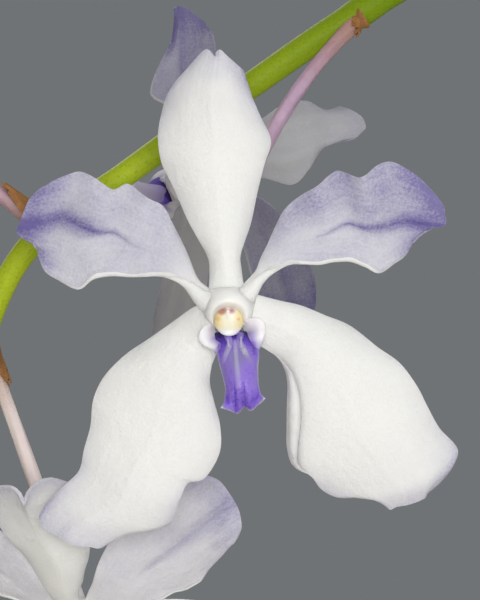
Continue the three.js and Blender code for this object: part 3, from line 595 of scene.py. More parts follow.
cut = pot.modifiers.new("drain", "BOOLEAN")
cut.operation = "DIFFERENCE"
cut.solver = "EXACT"
cut.object = drill
bpy.context.view_layer.update()
drilled = bpy.data.meshes.new_from_object(pot.evaluated_get(bpy.context.evaluated_depsgraph_get()))
pot.modifiers.remove(cut)
pot.data = drilled
pot.data.set_sharp_from_angle(angle=math.radians(50))
bpy.data.objects.remove(drill)
made_pieces.append(pot)
print("pot:", len(pot.data.polygons), "faces, rim", 2 * POT_RIM, "mm across")

# %% [markdown]
# ## Bark chips
# Orchids of this kind are potted in chips of fir bark, so that air reaches the roots. A chip is a rough
# block split along the layers of the bark, 9 to 19 mm long, red-brown where it broke and grey-brown where
# it was the tree's skin. Nobody places chips by hand: Geometry Nodes scatter five different blocks over the
# bed, keep them a chip's width apart, and leave room round the stem and the roots. Crumbs fill the spaces
# between.

# %% Fir bark
bark, add, here, chip_shade = new_material("split_fir_bark", "Object", "shade")
# The layers of bark are about 1 mm thick. Stretched noise draws them, and each chip has its own tone.
layers = add("TexNoise", {"Vector": here, "Scale": 420.0, "Detail": 5.0, "Roughness": 0.65,
    "Distortion": 1.4})
tone = add("Mix", (chip_shade, "#4a2c1c", "#8a5a38"))
layer_range = add("MapRange", (layers, 0.4, 0.66))
tone = add("Mix", (layer_range, "#33211a", tone))
dust = add("TexNoise", (here, 1400.0, 3.0))
tone = paint(add, tone, dust, 0.55, 0.75, 0.5, "#a5805c")
bark_bump = add("Bump", {"Strength": 0.8, "Distance": 0.0006, "Height": layers})
finish_material(add, {"Base Color": tone, "Roughness": 0.9, "Normal": bark_bump})

# %% Filling the pot with bark
BARK_LEVEL = 106.0
ROOTS = [
    [2.6, (4.6, -2.9, 134), (15, -11, 137), (30, -20, 125), (37, -25, 104), (39, -27, 82)],
    [2.4, (-4.1, -3.5, 121), (-14, -13, 124), (-25, -25, 116), (-30, -31, 100), (-31, -32, 80)],
    [2.5, (-2.8, 4.7, 128), (-11, 17, 131), (-23, 31, 120), (-28, 37, 102), (-29, 38, 82)],
    [2.7, (3.4, 4.4, 118), (12, 13, 120), (22, 23, 112), (27, 29, 98), (28, 30, 84)],
    [2.6, (6.1, 1.3, 125), (22, 6, 137), (46, 15, 138), (72, 25, 130), (82, 27, 108), (79, 24, 84),
    (80, 20, 60)],
    [2.3, (-5.8, 0.4, 134), (-24, 2, 145), (-51, 3, 144), (-75, 2, 132), (-85, -1, 110), (-80, -5, 86),
    (-79, -8, 62)],
    [2.4, (0.9, -5.8, 129), (2, -21, 137), (-5, -46, 137), (-14, -72, 131), (-22, -82, 104), (-24, -77, 80),
     (-27, -74, 58)],
]

scatter_tree, add, given = new_tree(
    "scatter_over_a_bed",
    {
        "Bed": "Geometry", "Shapes": "Collection", "Spacing": "Float", "Tilt": "Float", "Smallest": "Float",
        "Largest": "Float", "Seed": "Int", "Skin": "Material",
    },
)
room = add("GeometryNodeInputNamedAttribute", {"Name": "room"}, data_type="FLOAT")
spots = add("GeometryNodeDistributePointsOnFaces",
    {"Mesh": given["Bed"], "Distance Min": given["Spacing"], "Density Max": 300000.0,
    "Density Factor": room, "Seed": given["Seed"]}, distribute_method="POISSON")
tip_back = add("Math", (given["Tilt"], -1.0))
low_turn = add("CombineXYZ", (tip_back, tip_back, 0.0))
high_turn = add("CombineXYZ", (given["Tilt"], given["Tilt"], 6.283))
turned = add("FunctionNodeRandomValue", {"Min": low_turn, "Max": high_turn, "Seed": given["Seed"]},
    data_type="FLOAT_VECTOR")
sized = add("FunctionNodeRandomValue", {"Min": given["Smallest"], "Max": given["Largest"],
    "Seed": given["Seed"]}, data_type="FLOAT")
shapes = add("GeometryNodeCollectionInfo", {"Collection": given["Shapes"], "Separate Children": True,
    "Reset Children": True})
copies = add("GeometryNodeInstanceOnPoints", {"Points": spots, "Instance": shapes, "Pick Instance": True,
    "Rotation": turned, "Scale": sized})
shade = add("FunctionNodeRandomValue", {"Seed": 91}, data_type="FLOAT")
copies = add("GeometryNodeStoreNamedAttribute", {"Geometry": copies, "Name": "shade", "Value": shade},
    data_type="FLOAT", domain="INSTANCE")
solid_copies = add("GeometryNodeRealizeInstances", {"Geometry": copies})
solid_copies = add("GeometryNodeSetMaterial", {"Geometry": solid_copies, "Material": given["Skin"]})
add("NodeGroupOutput", {"Result": solid_copies})


def rough_block(size, seed, skin, cuts=2):
    """A block of a few dozen faces, split unevenly on all sides."""
    side = cuts + 2
    steps = np.linspace(-0.5, 0.5, side)
    faces, points, numbers = [], [], {}

    def number(p):
        key = tuple(np.round(p, 4))
        if key not in numbers:
            numbers[key] = len(points)
            points.append(np.array(p))
        return numbers[key]

    for axis in range(3):
        others = [(axis + 1) % 3, (axis + 2) % 3]
        for end in (-0.5, 0.5):
            for i in range(side - 1):
                for j in range(side - 1):
                    ring = []
                    for a, b in ((i, j), (i + 1, j), (i + 1, j + 1), (i, j + 1)):
                        p = [0, 0, 0]
                        p[axis], p[others[0]], p[others[1]] = end, steps[a], steps[b]
                        ring.append(number(p))
                    faces.append(ring if end > 0 else ring[::-1])
    points = np.array(points)
    dice = np.random.default_rng(seed)
    slant = 1 + 0.22 * np.sign(points) * dice.normal(size=3) * np.roll(points, 1, axis=1)
    points = points * slant * (1 - 0.13 * (np.abs(points) > 0.4).sum(1, keepdims=True) / 3)
    points = points * size + dice.normal(scale=0.045 * size[0], size=points.shape)
    return part(points, [np.array(faces)], skin)


def shape_box(name, shapes):
    """Puts a few shapes into a collection that a tree can pick from."""
    box = bpy.data.collections.new(name)
    for k, p in enumerate(shapes):
        mesh = bpy.data.meshes.new(f"{name}_{k}")
        mesh.from_pydata((p["points"] * MM).tolist(), [], [f for g in p["faces"] for f in g.tolist()])
        box.objects.link(bpy.data.objects.new(f"{name}_{k}", mesh))
    return box


def empty_box(box):
    for o in list(box.objects):
        bpy.data.objects.remove(o)
    bpy.data.collections.remove(box)


def scatter(bed_points, bed_faces, room, shapes, skin, spacing, tilt, sizes, seed):
    """Scatters shapes over a bed and returns them as a part."""
    mesh = bpy.data.meshes.new("bed")
    mesh.from_pydata((bed_points * MM).tolist(), [], bed_faces)
    mesh.attributes.new("room", "FLOAT", "POINT").data.foreach_set("value", np.asarray(room, float))
    source = bpy.data.objects.new("bed", mesh)
    bpy.context.scene.collection.objects.link(source)
    box = shape_box("shapes", shapes)
    result = grown(
        source, scatter_tree,
        {"Shapes": box, "Spacing": spacing * MM, "Tilt": tilt, "Smallest": sizes[0], "Largest": sizes[1],
         "Seed": seed, "Skin": skin},
    )
    made = read_part(result, skin)
    bpy.data.objects.remove(source)
    empty_box(box)
    return made


def bed_of(height, seed, dip=3.0):
    """The lumpy top of the bark: a round net of points that dips towards the pot's wall."""
    radii = np.linspace(0, pot_inside(BARK_LEVEL) - 1.5, 26)
    turn = np.linspace(0, 2 * np.pi, 72, endpoint=False)
    net = np.stack([np.outer(radii, np.cos(turn)), np.outer(radii, np.sin(turn)),
        np.full((26, 72), height)], -1)
    net[..., 2] += 1.3 * ripple(net, 22, seed) - dip * (radii[:, None] / radii[-1]) ** 6
    number = np.arange(26 * 72).reshape(26, 72)
    faces = np.concatenate([strip(number[i], number[i + 1], True) for i in range(1, 25)])
    return net.reshape(-1, 3), faces.tolist()


def clear_of_roots(points, gap):
    free = np.hypot(points[:, 0], points[:, 1]) - 6.5
    for radius, *path in ROOTS[:4]:
        ways = route(path, np.linspace(0, 1, 60))
        away = np.linalg.norm(points[:, None] - ways[None], axis=2).min(1) - radius
        free = np.minimum(free, away)
    return np.clip(free / gap, 0, 1) > 0.99


bed_profile = [(0.02, POT_FLOOR + 0.4), (pot_inside(POT_FLOOR) - 3.4, POT_FLOOR + 0.4),
               (pot_inside(POT_FLOOR) - 0.5, POT_FLOOR + 3.4), (pot_inside(99) - 0.5, 99), (0.02, 100.5)]
bark_parts = [lathe(bed_profile, 90, bark)]
chip_kinds = [
    rough_block(np.array(size, float), 11 + k, bark)
    for k, size in enumerate([(16, 10, 5), (13, 8, 6), (18, 9, 4), (11, 9, 7), (14, 11, 3.5)])
]
crumb_kinds = [
    rough_block(np.array(s, float), 31 + k, bark, cuts=0) for k, s in enumerate([(4, 3, 2), (3, 2, 1.6)])
]
for level, spacing, gap, kinds, sizes, seed in (
    (99.5, 7.5, 5.0, chip_kinds, (0.75, 1.1), 5), (103.5, 9.0, 6.0, chip_kinds, (0.7, 1.1), 6),
    (104.5, 4.0, 2.0, crumb_kinds, (0.6, 1.3), 8),
):
    net, net_faces = bed_of(level, seed)
    free = clear_of_roots(net, gap)
    edge = np.hypot(net[:, 0], net[:, 1]) < pot_inside(BARK_LEVEL) - (6.0 if gap > 3 else 3.0)
    bark_parts.append(scatter(net, net_faces, free & edge, kinds, bark, spacing, 0.45, sizes, seed))

# %% [markdown]
# ## Moss
# A little moss settles on bark that stays damp. Seen close, a cushion of moss is a crowd of small leafy
# shoots. Each tuft here is five pointed blades of four faces, and the tree that scattered the chips
# scatters a few hundred tufts in patches among them.

# %% Moss on the bark
moss, add, here = new_material("damp_cushion_moss", "Object")
moss_noise = add("TexNoise", (here, 300.0))
moss_green = add("Mix", (moss_noise, "#3f5a14", "#8ea43a"))
finish_material(add, {"Base Color": moss_green, "Roughness": 0.85})


def moss_tuft(seed):
    """Five slender pyramids that lean every way."""
    dice = np.random.default_rng(seed)
    points, faces = [], []
    for k in range(5):
        foot, lean = dice.normal(scale=0.5, size=3) * [1, 1, 0], dice.normal(scale=0.9, size=3) * [1, 1, 0]
        corners = [[0.45 * math.cos(a + k), 0.45 * math.sin(a + k), -0.8] for a in (0, 2.1, 4.2)]
        points += [foot + corner for corner in corners] + [foot + lean + [0, 0, dice.uniform(1.8, 3.2)]]
        faces += [[4 * k + c for c in ring] for ring in ((0, 1, 3), (1, 2, 3), (2, 0, 3), (2, 1, 0))]
    return part(np.array(points), [np.array(faces)], moss)


net, net_faces = bed_of(106.0, 8)
damp = (ripple(net, 17, 3) > 0.25) & (np.hypot(net[:, 0], net[:, 1]) < pot_inside(BARK_LEVEL) - 4)
tufts = [moss_tuft(k) for k in (1, 2, 3)]
free = clear_of_roots(net, 2.0) & damp
bark_parts.append(scatter(net, net_faces, free, tufts, moss, 1.7, 0.35, (0.6, 1.1), 12))
print("moss:", len(bark_parts[-1]["points"]) // 20, "tufts")
bark_piece = piece("bark_chips_split", bark_parts, ["bark_chips"], smooth_under=25)
made_pieces.append(bark_piece)
print("bark:", len(bark_piece.data.polygons), "faces")

# %% [markdown]
# ## The old stem
# Vandas grow upwards from one tip for years. The lowest leaves dry and fall, and their sheaths stay behind
# as papery grey-brown rings that fray into fibres. The stem is a turned shape with a step at each old leaf,
# and the fibres are a few hundred tiny strips, so a tree scatters them as it scattered the bark.

# %% Dry sheath fibre and the leafless foot
dry_sheath, add, here = new_material("dry_leaf_sheath_fibre", "Object")
# Fibres run up the stem, so the noise is squeezed sideways and stretched in height.
stretched = add("Mapping", {"Vector": here, "Scale": (2600.0, 2600.0, 160.0)})
fibres = add("TexNoise", (stretched, 1.0, 4.0))
patches = add("TexNoise", (here, 160.0, 3.0))
sheath_colour = add("Mix", (fibres, "#5b4a33", "#b8a17a"))
sheath_colour = paint(add, sheath_colour, patches, 0.45, 0.62, 1.0, "#8b8269")
fibre_bump = add("Bump", {"Strength": 0.7, "Distance": 0.0004, "Height": fibres})
finish_material(add, {"Base Color": sheath_colour, "Roughness": 0.75, "Normal": fibre_bump})

STEM_FOOT, STEM_TOP, STEM_RADIUS, OLD_STEM_RADIUS, FIRST_LEAF = 62.0, 290.0, 2.6, 4.6, 142.0
outline = [(0.02, STEM_FOOT), (OLD_STEM_RADIUS * 0.7, STEM_FOOT), (OLD_STEM_RADIUS, STEM_FOOT + 6)]
z = STEM_FOOT + 46
while z < FIRST_LEAF - 4:  # a step at each old leaf
    outline += [(OLD_STEM_RADIUS - 0.55, z), (OLD_STEM_RADIUS - 0.2, z + 0.7),
        (OLD_STEM_RADIUS + 0.3, z + 1.5),
                (OLD_STEM_RADIUS + 0.1, z + 2.4), (OLD_STEM_RADIUS - 0.3, z + 5.5)]
    z += 9
outline += [(OLD_STEM_RADIUS - 0.4, FIRST_LEAF - 1), (STEM_RADIUS, FIRST_LEAF - 0.4),
            (STEM_RADIUS * 0.8, STEM_TOP), (0.02, STEM_TOP)]
stem_part = lathe(outline, 40, dry_sheath)
away = unit(stem_part["points"] * [1, 1, 0])
stem_part["points"] += away * 0.22 * ripple(stem_part["points"] * [1, 1, 0.5], 2.4, 12)[:, None]

fibre = part([(-0.16, 0, 0), (0.16, 0, 0), (0.1, 0.25, 3.4), (-0.1, 0.25, 3.4), (0, 0.9, 6.4),
              (-0.1, -0.1, 0), (0.1, -0.1, 0), (0.06, 0.12, 3.4), (-0.06, 0.12, 3.4)],
             [np.array([[1, 0, 3, 2], [5, 6, 7, 8], [0, 5, 8, 3], [6, 1, 2, 7], [0, 1, 6, 5]]),
              np.array([[2, 3, 4], [8, 7, 4], [3, 8, 4], [7, 2, 4]])], dry_sheath)
turn = np.linspace(0, 2 * np.pi, 24, endpoint=False)
levels = np.arange(STEM_FOOT + 48, FIRST_LEAF - 3, 3.0)
coat = np.stack(
    [np.outer(np.full(len(levels), 4.3), np.cos(turn)), np.outer(np.full(len(levels), 4.3), np.sin(turn)),
     np.repeat(levels[:, None], 24, 1)], -1
)
number = np.arange(len(levels) * 24).reshape(len(levels), 24)
coat_faces = np.concatenate([strip(number[i], number[i + 1], True) for i in range(len(levels) - 1)]).tolist()
fibre_part = scatter(coat.reshape(-1, 3), coat_faces, np.ones(coat.size // 3), [fibre], dry_sheath, 1.6,
    0.35,
                     (0.6, 1.15), 17)
stem = piece("stem_with_old_sheaths", [stem_part, fibre_part], ["stem"])
made_pieces.append(stem)
print("stem:", len(stem.data.polygons), "faces")

# %% [markdown]
# ## Leaves
# A vanda leaf is a thick leathery strap, folded along its middle like a gutter. Its foot is a sheath that
# clasps the stem, and its tip is bitten off into two unequal lobes. The whole leaf is one surface: near the
# stem its cross-section is a ring, which opens at the back, narrows to the front and turns into a V. So the
# sheet is made by sliding one changing cross-section along the bent midrib. Skin: a waxy cuticle over
# parallel veins about half a millimetre apart, paler on the sheath, with age yellowing the lowest tips.

# %% Leaf skin
leaf_skin, add, here, leaf_uv, old, pale, under = new_material("waxy_leaf_cuticle", "Object", "UVMap",
    "old", "pale", "under")
# 36 veins cross the 18 mm of the blade.
veins = add("TexWave", {"Vector": leaf_uv, "Scale": 11.3, "Distortion": 0.5, "Detail": 2.0,
    "Detail Scale": 0.6}, bands_direction="X")
blotch = add("TexNoise", (here, 70.0, 5.0, 0.6))
streaky = add("Mapping", {"Vector": leaf_uv, "Scale": (26.0, 3.0, 1.0)})
streaks = add("TexNoise", (streaky, 1.0, 4.0))
green = add("Mix", (streaks, "#33591d", "#5f8f34"))
green = paint(add, green, blotch, 0.4, 0.65, 0.6, "#4a7b2a")
green = add("Mix", (under, green, "#7da052"))
green = paint(add, green, veins, 0.0, 1.0, 0.16, "#86ab57")
green = add("Mix", (pale, green, "#a9b872"))
# Purple freckles of half a millimetre sit on the sheaths.
freckle = add("TexNoise", (here, 900.0, 1.0))
freckle_range = add("MapRange", (freckle, 0.62, 0.68))
freckle_here = add("Math", (freckle_range, pale))
freckle_part = add("Math", (freckle_here, 0.5))
green = add("Mix", (freckle_part, green, "#6b4a4a"))
age_edge = add("Math", (old, blotch))
green = paint(add, green, age_edge, 0.2, 0.5, 1.0, "#b59a4c")
green = paint(add, green, age_edge, 0.46, 0.56, 1.0, "#6e4c2c")
vein_bump = add("Bump", {"Strength": 0.35, "Distance": 0.0002, "Height": veins})
pore_bump = add("Bump", {"Strength": 0.2, "Distance": 0.0001, "Height": freckle, "Normal": vein_bump})
finish_material(add, {"Base Color": green, "Roughness": 0.42, "IOR": 1.45, "Coat Weight": 0.18,
    "Coat Roughness": 0.3, "Subsurface Weight": 0.12, "Subsurface Radius": (0.5, 1.0, 0.2),
    "Subsurface Scale": 0.0012, "Normal": pore_bump})

# %% Growing the twelve leaves
LEAF_COUNT, LEAF_STEP = 12, 12.6
FAN_TURN = math.radians(-14)
SHEATH_FOOT_RADIUS, SHEATH_FLARE, SHEATH_LONG, SHEATH_SHORT, SHEATH_WALL = 4.25, 0.12, 1.22, 0.9, 0.85
SHEATH_MOUTH = 15.0  # the lowest point of the sheath's slanting mouth, above its foot
LEAF_THICKNESS, LEAF_HALF_WIDTH = 1.1, 9.2


def leaf_grid(k, rows=84, columns=18):
    """The middle surface of a leaf, with the share along it (below 0 on the sheath) for each row."""
    age = 1 - k / (LEAF_COUNT - 1)
    length = mix(70, 168, min(1, age * 2.2) ** 0.8) - 6 * (k % 3)
    lean = math.radians(mix(9, 50, age**0.7))
    droop = math.radians(mix(26, 122, age**0.8))
    t = np.sin(np.linspace(-1, 1, 2 * columns + 1) * np.pi / 2 * 0.92) / math.sin(np.pi / 2 * 0.92)
    grid, shares = [], []
    outer = lambda h: SHEATH_FOOT_RADIUS + SHEATH_FLARE * h - SHEATH_WALL / 2

    def ring(centre_x, h, wrap):
        turn = t * wrap
        reach = centre_x / SHEATH_LONG
        return np.stack([centre_x * np.cos(turn), reach * SHEATH_SHORT * np.sin(turn), np.full(len(t), h)],
            1)

    for h in np.linspace(0, SHEATH_MOUTH, 9)[:-1]:
        grid.append(ring(outer(h) * SHEATH_LONG, h, math.radians(168)))
        shares.append(h / SHEATH_MOUTH - 1)
    middle = np.array([(outer(SHEATH_MOUTH) + SHEATH_WALL / 2) * SHEATH_LONG - SHEATH_WALL / 2, 0,
        SHEATH_MOUTH])
    fine = 4
    for i in range(rows + 1):
        share = i / rows

        def angle(s):
            foot = math.atan(SHEATH_FLARE * SHEATH_LONG)
            return mix(foot, lean, float(smoothstep(s * length / 26))) + (droop - lean) * s**1.25

        ahead = np.array([math.sin(angle(share)), 0, math.cos(angle(share))])
        inwards = np.array([-ahead[2], 0, ahead[0]])
        half = LEAF_HALF_WIDTH * float(along([0.62, 0.86, 1, 1, 0.98, 0.9, 0.74], share))
        fold = math.radians(float(along([64, 52, 50, 54, 60, 68], share)))
        soft = np.sqrt(t**2 + 0.012) - math.sqrt(0.012)  # the gutter's bottom is a little rounded
        bite = np.interp(t, [-1, -0.72, -0.4, -0.1, 0.08, 0.4, 0.75, 1],
            [0.2, 2.1, 1.6, -2.4, -2.2, 3.6, 4.7, 2.2])
        blade = (
            middle + soft[:, None] * half * math.cos(fold) * inwards
            + (t * half * math.sin(fold))[:, None] * np.array([0, 1, 0])
            + (bite * float(smoothstep((share - 0.9) / 0.1)))[:, None] * ahead
        )
        wave = 0.35 * np.abs(t) ** 3 * np.sin(share * 17 + k * 1.7 + np.sign(t) * 1.1) * min(1, share * 4)
        blade += wave[:, None] * inwards
        reach = share * length
        wrap = math.radians(mix(168, 46, float(smoothstep(reach / 13))))
        clasp = ring(middle[0], middle[2], wrap)
        w = float(smoothstep((reach - 3) / 17))
        grid.append(mix(clasp, blade, w))
        shares.append(share)
        for f in range(fine):
            s = angle((i + (f + 0.5) / fine) / rows)
            middle = middle + np.array([math.sin(s), 0, math.cos(s)]) * length / rows / fine
    return np.array(grid), np.array(shares), t, age


leaves = []
for k in range(LEAF_COUNT):
    grid, shares, t, age = leaf_grid(k)
    turn = FAN_TURN + (0 if k % 2 else math.pi) + (((k * 7) % 5) - 2) * math.radians(1.6)
    spin = np.array([[math.cos(turn), -math.sin(turn), 0], [math.sin(turn), math.cos(turn), 0], [0, 0, 1]])
    grid = grid @ spin.T + [0, 0, FIRST_LEAF + k * LEAF_STEP]
    s, across = np.meshgrid(shares, t, indexing="ij")
    on_blade = smoothstep(s * 6)
    thick = mix(SHEATH_WALL * (1 - 0.6 * np.abs(across) ** 6),
        mix(LEAF_THICKNESS, 0.42, np.abs(across) ** 1.5), on_blade)
    thick *= 1 - 0.6 * smoothstep((s - 0.95) / 0.05)
    uv = np.stack([across * 0.5 + 0.5, np.maximum(s, -0.2)], -1)
    pale_part = 0.75 * smoothstep(0.35 - s * 4.2)
    old_part = smoothstep((s - 0.82) / 0.2) * max(0,
        (age - 0.45) * 1.5) + 0.25 * (np.abs(across) > 0.93) * age
    marks = {"old": old_part, "pale": pale_part, "under": np.zeros_like(s)}
    # The first side of the sheet is the leaf's outer, lower face.
    facing = np.cross(grid[20, 18] - grid[19, 18], grid[20, 19] - grid[20, 18])
    outwards = grid[20, 18] * [1, 1, 0]
    top_is_outer = facing @ outwards > 0
    outer_marks = {**marks, "under": np.ones_like(s)}
    sides = (outer_marks, marks) if top_is_outer else (marks, outer_marks)
    name = f"leaf_{k + 1:02d}"
    leaves.append(piece(name + "_blade", [sheet(grid, thick, leaf_skin, uv, *sides)], [name],
        smooth_under=60))
made_pieces += leaves
print("leaves:", len(leaves), "of", len(leaves[0].data.polygons), "faces each")

# %% [markdown]
# ## Roots
# The roots of a vanda hang in the air and are about 5 mm thick. Each wears a coat of dead silvery cells,
# the velamen, which drinks rain like blotting paper and turns green when wet. Only the growing tip is bare,
# smooth and green. They are bars along paths, so the sweep makes them, with lumps where the coat grew
# unevenly.

# %% Velamen
velamen, add, here, run_mm, round_x, round_y, fresh = new_material("dry_velamen_root_coat", "Object", "run",
    "around_x", "around_y", "fresh")
# Wrinkles run lengthways: the noise sees a small step along the root and a large one round it.
slow_run = add("Math", (run_mm, 0.12))
skin_place = add("CombineXYZ", (round_x, round_y, slow_run))
wrinkles = add("TexNoise", (skin_place, 3.2, 6.0, 0.6))
silver = add("Mix", (wrinkles, "#8f9184", "#d3d2c4"))
moist = add("TexNoise", (here, 75.0, 4.0, 0.6))
silver = paint(add, silver, moist, 0.5, 0.68, 0.65, "#8a9a68")
stain = add("TexNoise", (here, 210.0, 4.0))
silver = paint(add, silver, stain, 0.6, 0.72, 0.5, "#84714f")
silver = add("Mix", (fresh, silver, "#93a94e"))
root_rough = add("MapRange", (fresh, 0.0, 1.0, 0.82, 0.35))
root_bump = add("Bump", {"Strength": 0.45, "Distance": 0.0005, "Height": wrinkles})
finish_material(add, {"Base Color": silver, "Roughness": root_rough, "Normal": root_bump})

# %% Seven roots
roots = []
for k, (radius, *path) in enumerate(ROOTS):
    shares = np.linspace(0, 1, 110)
    way = route(path, shares)
    way += 0.35 * np.stack([ripple(way, 17, 50 + k), ripple(way, 17, 60 + k), ripple(way, 17, 70 + k)],
        1) * (
        smoothstep(shares * 8) * smoothstep((1 - shares) * 6)
    )[:, None]
    girth = radius * mix(1, 0.8, shares) * (1 + 0.05 * ripple(way, 9, 80 + k))
    girth = round_ends(girth, way, first=False)
    fresh = smoothstep((shares - 0.93) / 0.05) * (k > 3)
    root = sweep(way, girth, velamen, sides=22, lump=(3.2, 0.5), seed=k * 3.1, fresh=fresh)
    roots.append(piece(f"root_{k + 1}_coated", [root], [f"root_{k + 1}"], smooth_under=70))
made_pieces += roots
print("roots:", len(roots), "of", len(roots[0].data.polygons), "faces each")

# %% [markdown]
# ## The flower spike
# The spike, or rachis, is one green stalk that rises from a leaf axil, arches over and carries the blooms
# alternately. It is 3.8 mm thick at its foot and 1.5 mm at its tip, and bends a little at each flower. The
# sweep follows its route. Skin: smooth, yellow-green, with countless darker specks of a tenth of a
# millimetre, which are the stomata and the sap cells. They are drawn twice as coarse so that they show.

# %% Rachis skin
rachis_skin, add, here, run_mm, round_x, round_y, far_along = new_material("living_rachis_skin", "Object",
    "run", "around_x", "around_y", "share")
slow_run = add("Math", (run_mm, 0.25))
skin_place = add("CombineXYZ", (round_x, round_y, slow_run))
stripes = add("TexNoise", (skin_place, 3.5, 4.0))
specks = add("TexNoise", (here, 4800.0, 2.0, 0.6))
lime_green = add("Mix", (stripes, "#3a6200", "#547f00"))
lime_green = paint(add, lime_green, far_along, 0.67, 0.8, 0.9, "#b2c22e")
lime_green = paint(add, lime_green, specks, 0.52, 0.66, 0.3, "#5c7a10")
speck_bump = add("Bump", {"Strength": 0.25, "Distance": 0.0001, "Height": specks})
finish_material(add, {"Base Color": lime_green, "Roughness": 0.48, "IOR": 1.4, "Specular IOR Level": 0.12,
    "Subsurface Weight": 0.15, "Subsurface Radius": (0.6, 1.0, 0.15), "Subsurface Scale": 0.001,
    "Normal": speck_bump})

# %% Dry bract paper
bract_paper, add, here = new_material("dry_papery_bract", "Object")
dry = add("TexNoise", (here, 1500.0, 4.0, 0.65))
dry_colour = add("Mix", (dry, "#5d3316", "#bb8446"))
dry_bump = add("Bump", {"Strength": 0.5, "Distance": 0.0002, "Height": dry})
finish_material(add, {"Base Color": dry_colour, "Roughness": 0.7, "Subsurface Weight": 0.1,
    "Subsurface Scale": 0.0005, "Normal": dry_bump})

# %% The spike and its bracts
SPIKE_ROUTE = [
    (-2.35, -6.85, 212.8), (-6.4, -10.6, 250), (-13.5, -12, 296), (-25, -11.5, 343), (-41, -9.5, 386),
    (-57, -7, 416), (-72, -6, 431), (-86.5, -5.3, 430.6), (-99.9, -5, 423.5), (-108.1, -5, 418),
    (-118, -5, 411), (-126.3, -4.8, 404.7), (-130.2, -3.6, 396.5), (-132, -0.4, 386), (-134.5, 2.6, 374),
    (-138.5, 4.2, 362), (-144, 4.8, 351), (-150, 5, 342),
]
SPIKE_RADIUS, FRONT_SHARE = [1.9, 1.12, 0.75], 0.47
# "at" is the place on the route, in its points. "pull" is how far a stalk runs straight at each end, "lean"
# bends each tepal forwards, and "pale" makes the stalk paler. One more number greys a whole bloom with
# painted shade, and another scales the violet of its petals, partly as painted shade and painted light.
BLOOMS = [
    {"at": 4.6, "centre": (-31, 6, 421), "face": (0.8, 0.55, 0.1), "up": (0.1, -0.2, 1),
     "leave": (0.6, 0.35, 0.7), "pull": (10, 8), "size": 0.97, "lean": (0.1, 0.25, 0.1, 0.2, 0.1)},
    {"at": 5.5, "centre": (-59, -28, 440), "face": (0.4, -0.9, 0.15), "up": (0.05, 0.1, 1),
     "leave": (0.25, -0.7, 0.6), "pull": (10, 8), "size": 1, "lean": (-0.3, -0.1, -0.2, -0.3, -0.15)},
    {"at": 6.7, "centre": (-86, 15, 451), "face": (-0.2, 0.9, 0.35), "up": (0.1, -0.3, 1),
     "leave": (-0.3, 0.5, 0.8), "pull": (10, 8), "size": 1.02, "lean": (0.2, 0.05, 0.15, 0.25, 0.1)},
    {"at": 8, "centre": (-109.9, -22, 400), "face": (0, -1, 0), "up": (0, 0, 1),
     "leave": (-0.7, -0.3, -0.7), "pull": (17, 7.5), "size": 1, "bract": 0.8, "bulge": 0.0,
     "lean": (0, 0, 0, 0, 0)},
    # This bloom is turned away: painted shade greys it, and its petals are made more violet, partly as
    # painted shade.
    {"at": 9.3, "centre": (-114, 21, 411), "face": (0.19, 0.95, -0.25), "up": (0.9, 0, 0.44),
     "leave": (0.1, 0.9, 0.5), "pull": (8, 9), "size": 0.91, "dull": 0.46, "petal_violet_and_shading": 1.5,
     "lean": (0.78, 1.6, 2.1, 0.36, 0.43)},
    {"at": 10.8, "centre": (-149, -12, 421), "face": (-0.75, -0.6, 0.2), "up": (0.2, 0, 1),
     "leave": (-0.7, -0.2, 0.6), "pull": (10, 8), "size": 0.98, "bract": 4.0, "bulge": 0.4,
     "lean": (0.05, 0.2, 0.1, 0.15, 0.3)},
    # This bloom's petals are made less violet: partly their own paler lilac and partly painted light where
    # they tilt away.
    {"at": 12, "centre": (-121.8, -4.5, 374.1), "face": (0.25, -0.67, -0.7), "up": (-0.23, -0.74, 0.63),
     "leave": (0.3, 0.35, -0.85), "pull": (9, 8), "size": 1, "bract": 2.9, "bulge": 0.2, "pale": 0.85,
     "petal_violet_and_shading": 0.65, "lean": (-0.05, 0.1, 0.35, 0, 0)},
    {"at": 13.4, "centre": (-156, 4, 384), "face": (-0.85, 0.5, -0.1), "up": (0, 0.1, 1),
     "leave": (-0.8, 0.1, 0.2), "pull": (9, 8), "size": 0.96, "lean": (0.2, 0.1, 0.3, 0.15, 0.2)},
]
FRONT_BLOOM = 3  # the fourth, which the camera sees whole and which is cut finest
BUDS = [
    {"at": 14.4, "leave": (0.6, 0.75, -0.3), "stalk": 15, "length": 11, "radius": 3.1},
    {"at": 15.3, "leave": (-0.8, -0.5, 0.1), "stalk": 12, "length": 9, "radius": 2.6},
    {"at": 16.1, "leave": (0.5, -0.5, -0.7), "stalk": 9.5, "length": 7, "radius": 2.1},
    {"at": 16.75, "leave": (-0.5, 0.6, 0.2), "stalk": 7, "length": 5.5, "radius": 1.6},
]


def spike_radius(share):
    upper = mix(SPIKE_RADIUS[1], SPIKE_RADIUS[2], (share - FRONT_SHARE) / (1 - FRONT_SHARE))
    return np.where(share < FRONT_SHARE, mix(SPIKE_RADIUS[0], SPIKE_RADIUS[1], share / FRONT_SHARE), upper)


def node_of(flower):
    """Where a flower's stalk leaves the spike, the spike's run there, the way out and the spike's radius."""
    share = flower["at"] / (len(SPIKE_ROUTE) - 1)
    before, centre, after = route(SPIKE_ROUTE, [share - 0.001, share, share + 0.001])
    run = unit(after - before)
    leave = np.array(flower["leave"], float)
    out = unit(leave - leave.dot(run) * run)
    return centre, run, out, float(spike_radius(share))


shares = np.linspace(0, 1, 420)
way = route(SPIKE_ROUTE, shares)
girth = spike_radius(shares)
for flower in BLOOMS + BUDS:  # a slight swelling under each stalk
    girth = girth + 0.16 * np.exp(-(((shares * (len(SPIKE_ROUTE) - 1) - flower["at"] + 0.05) / 0.1) ** 2))
spike_parts = [sweep(way, round_ends(girth, way), rachis_skin, sides=24, ribs=5, rib_depth=0.015, twist=7.0,
                     lump=(5.0, 0.12), seed=2.0)]


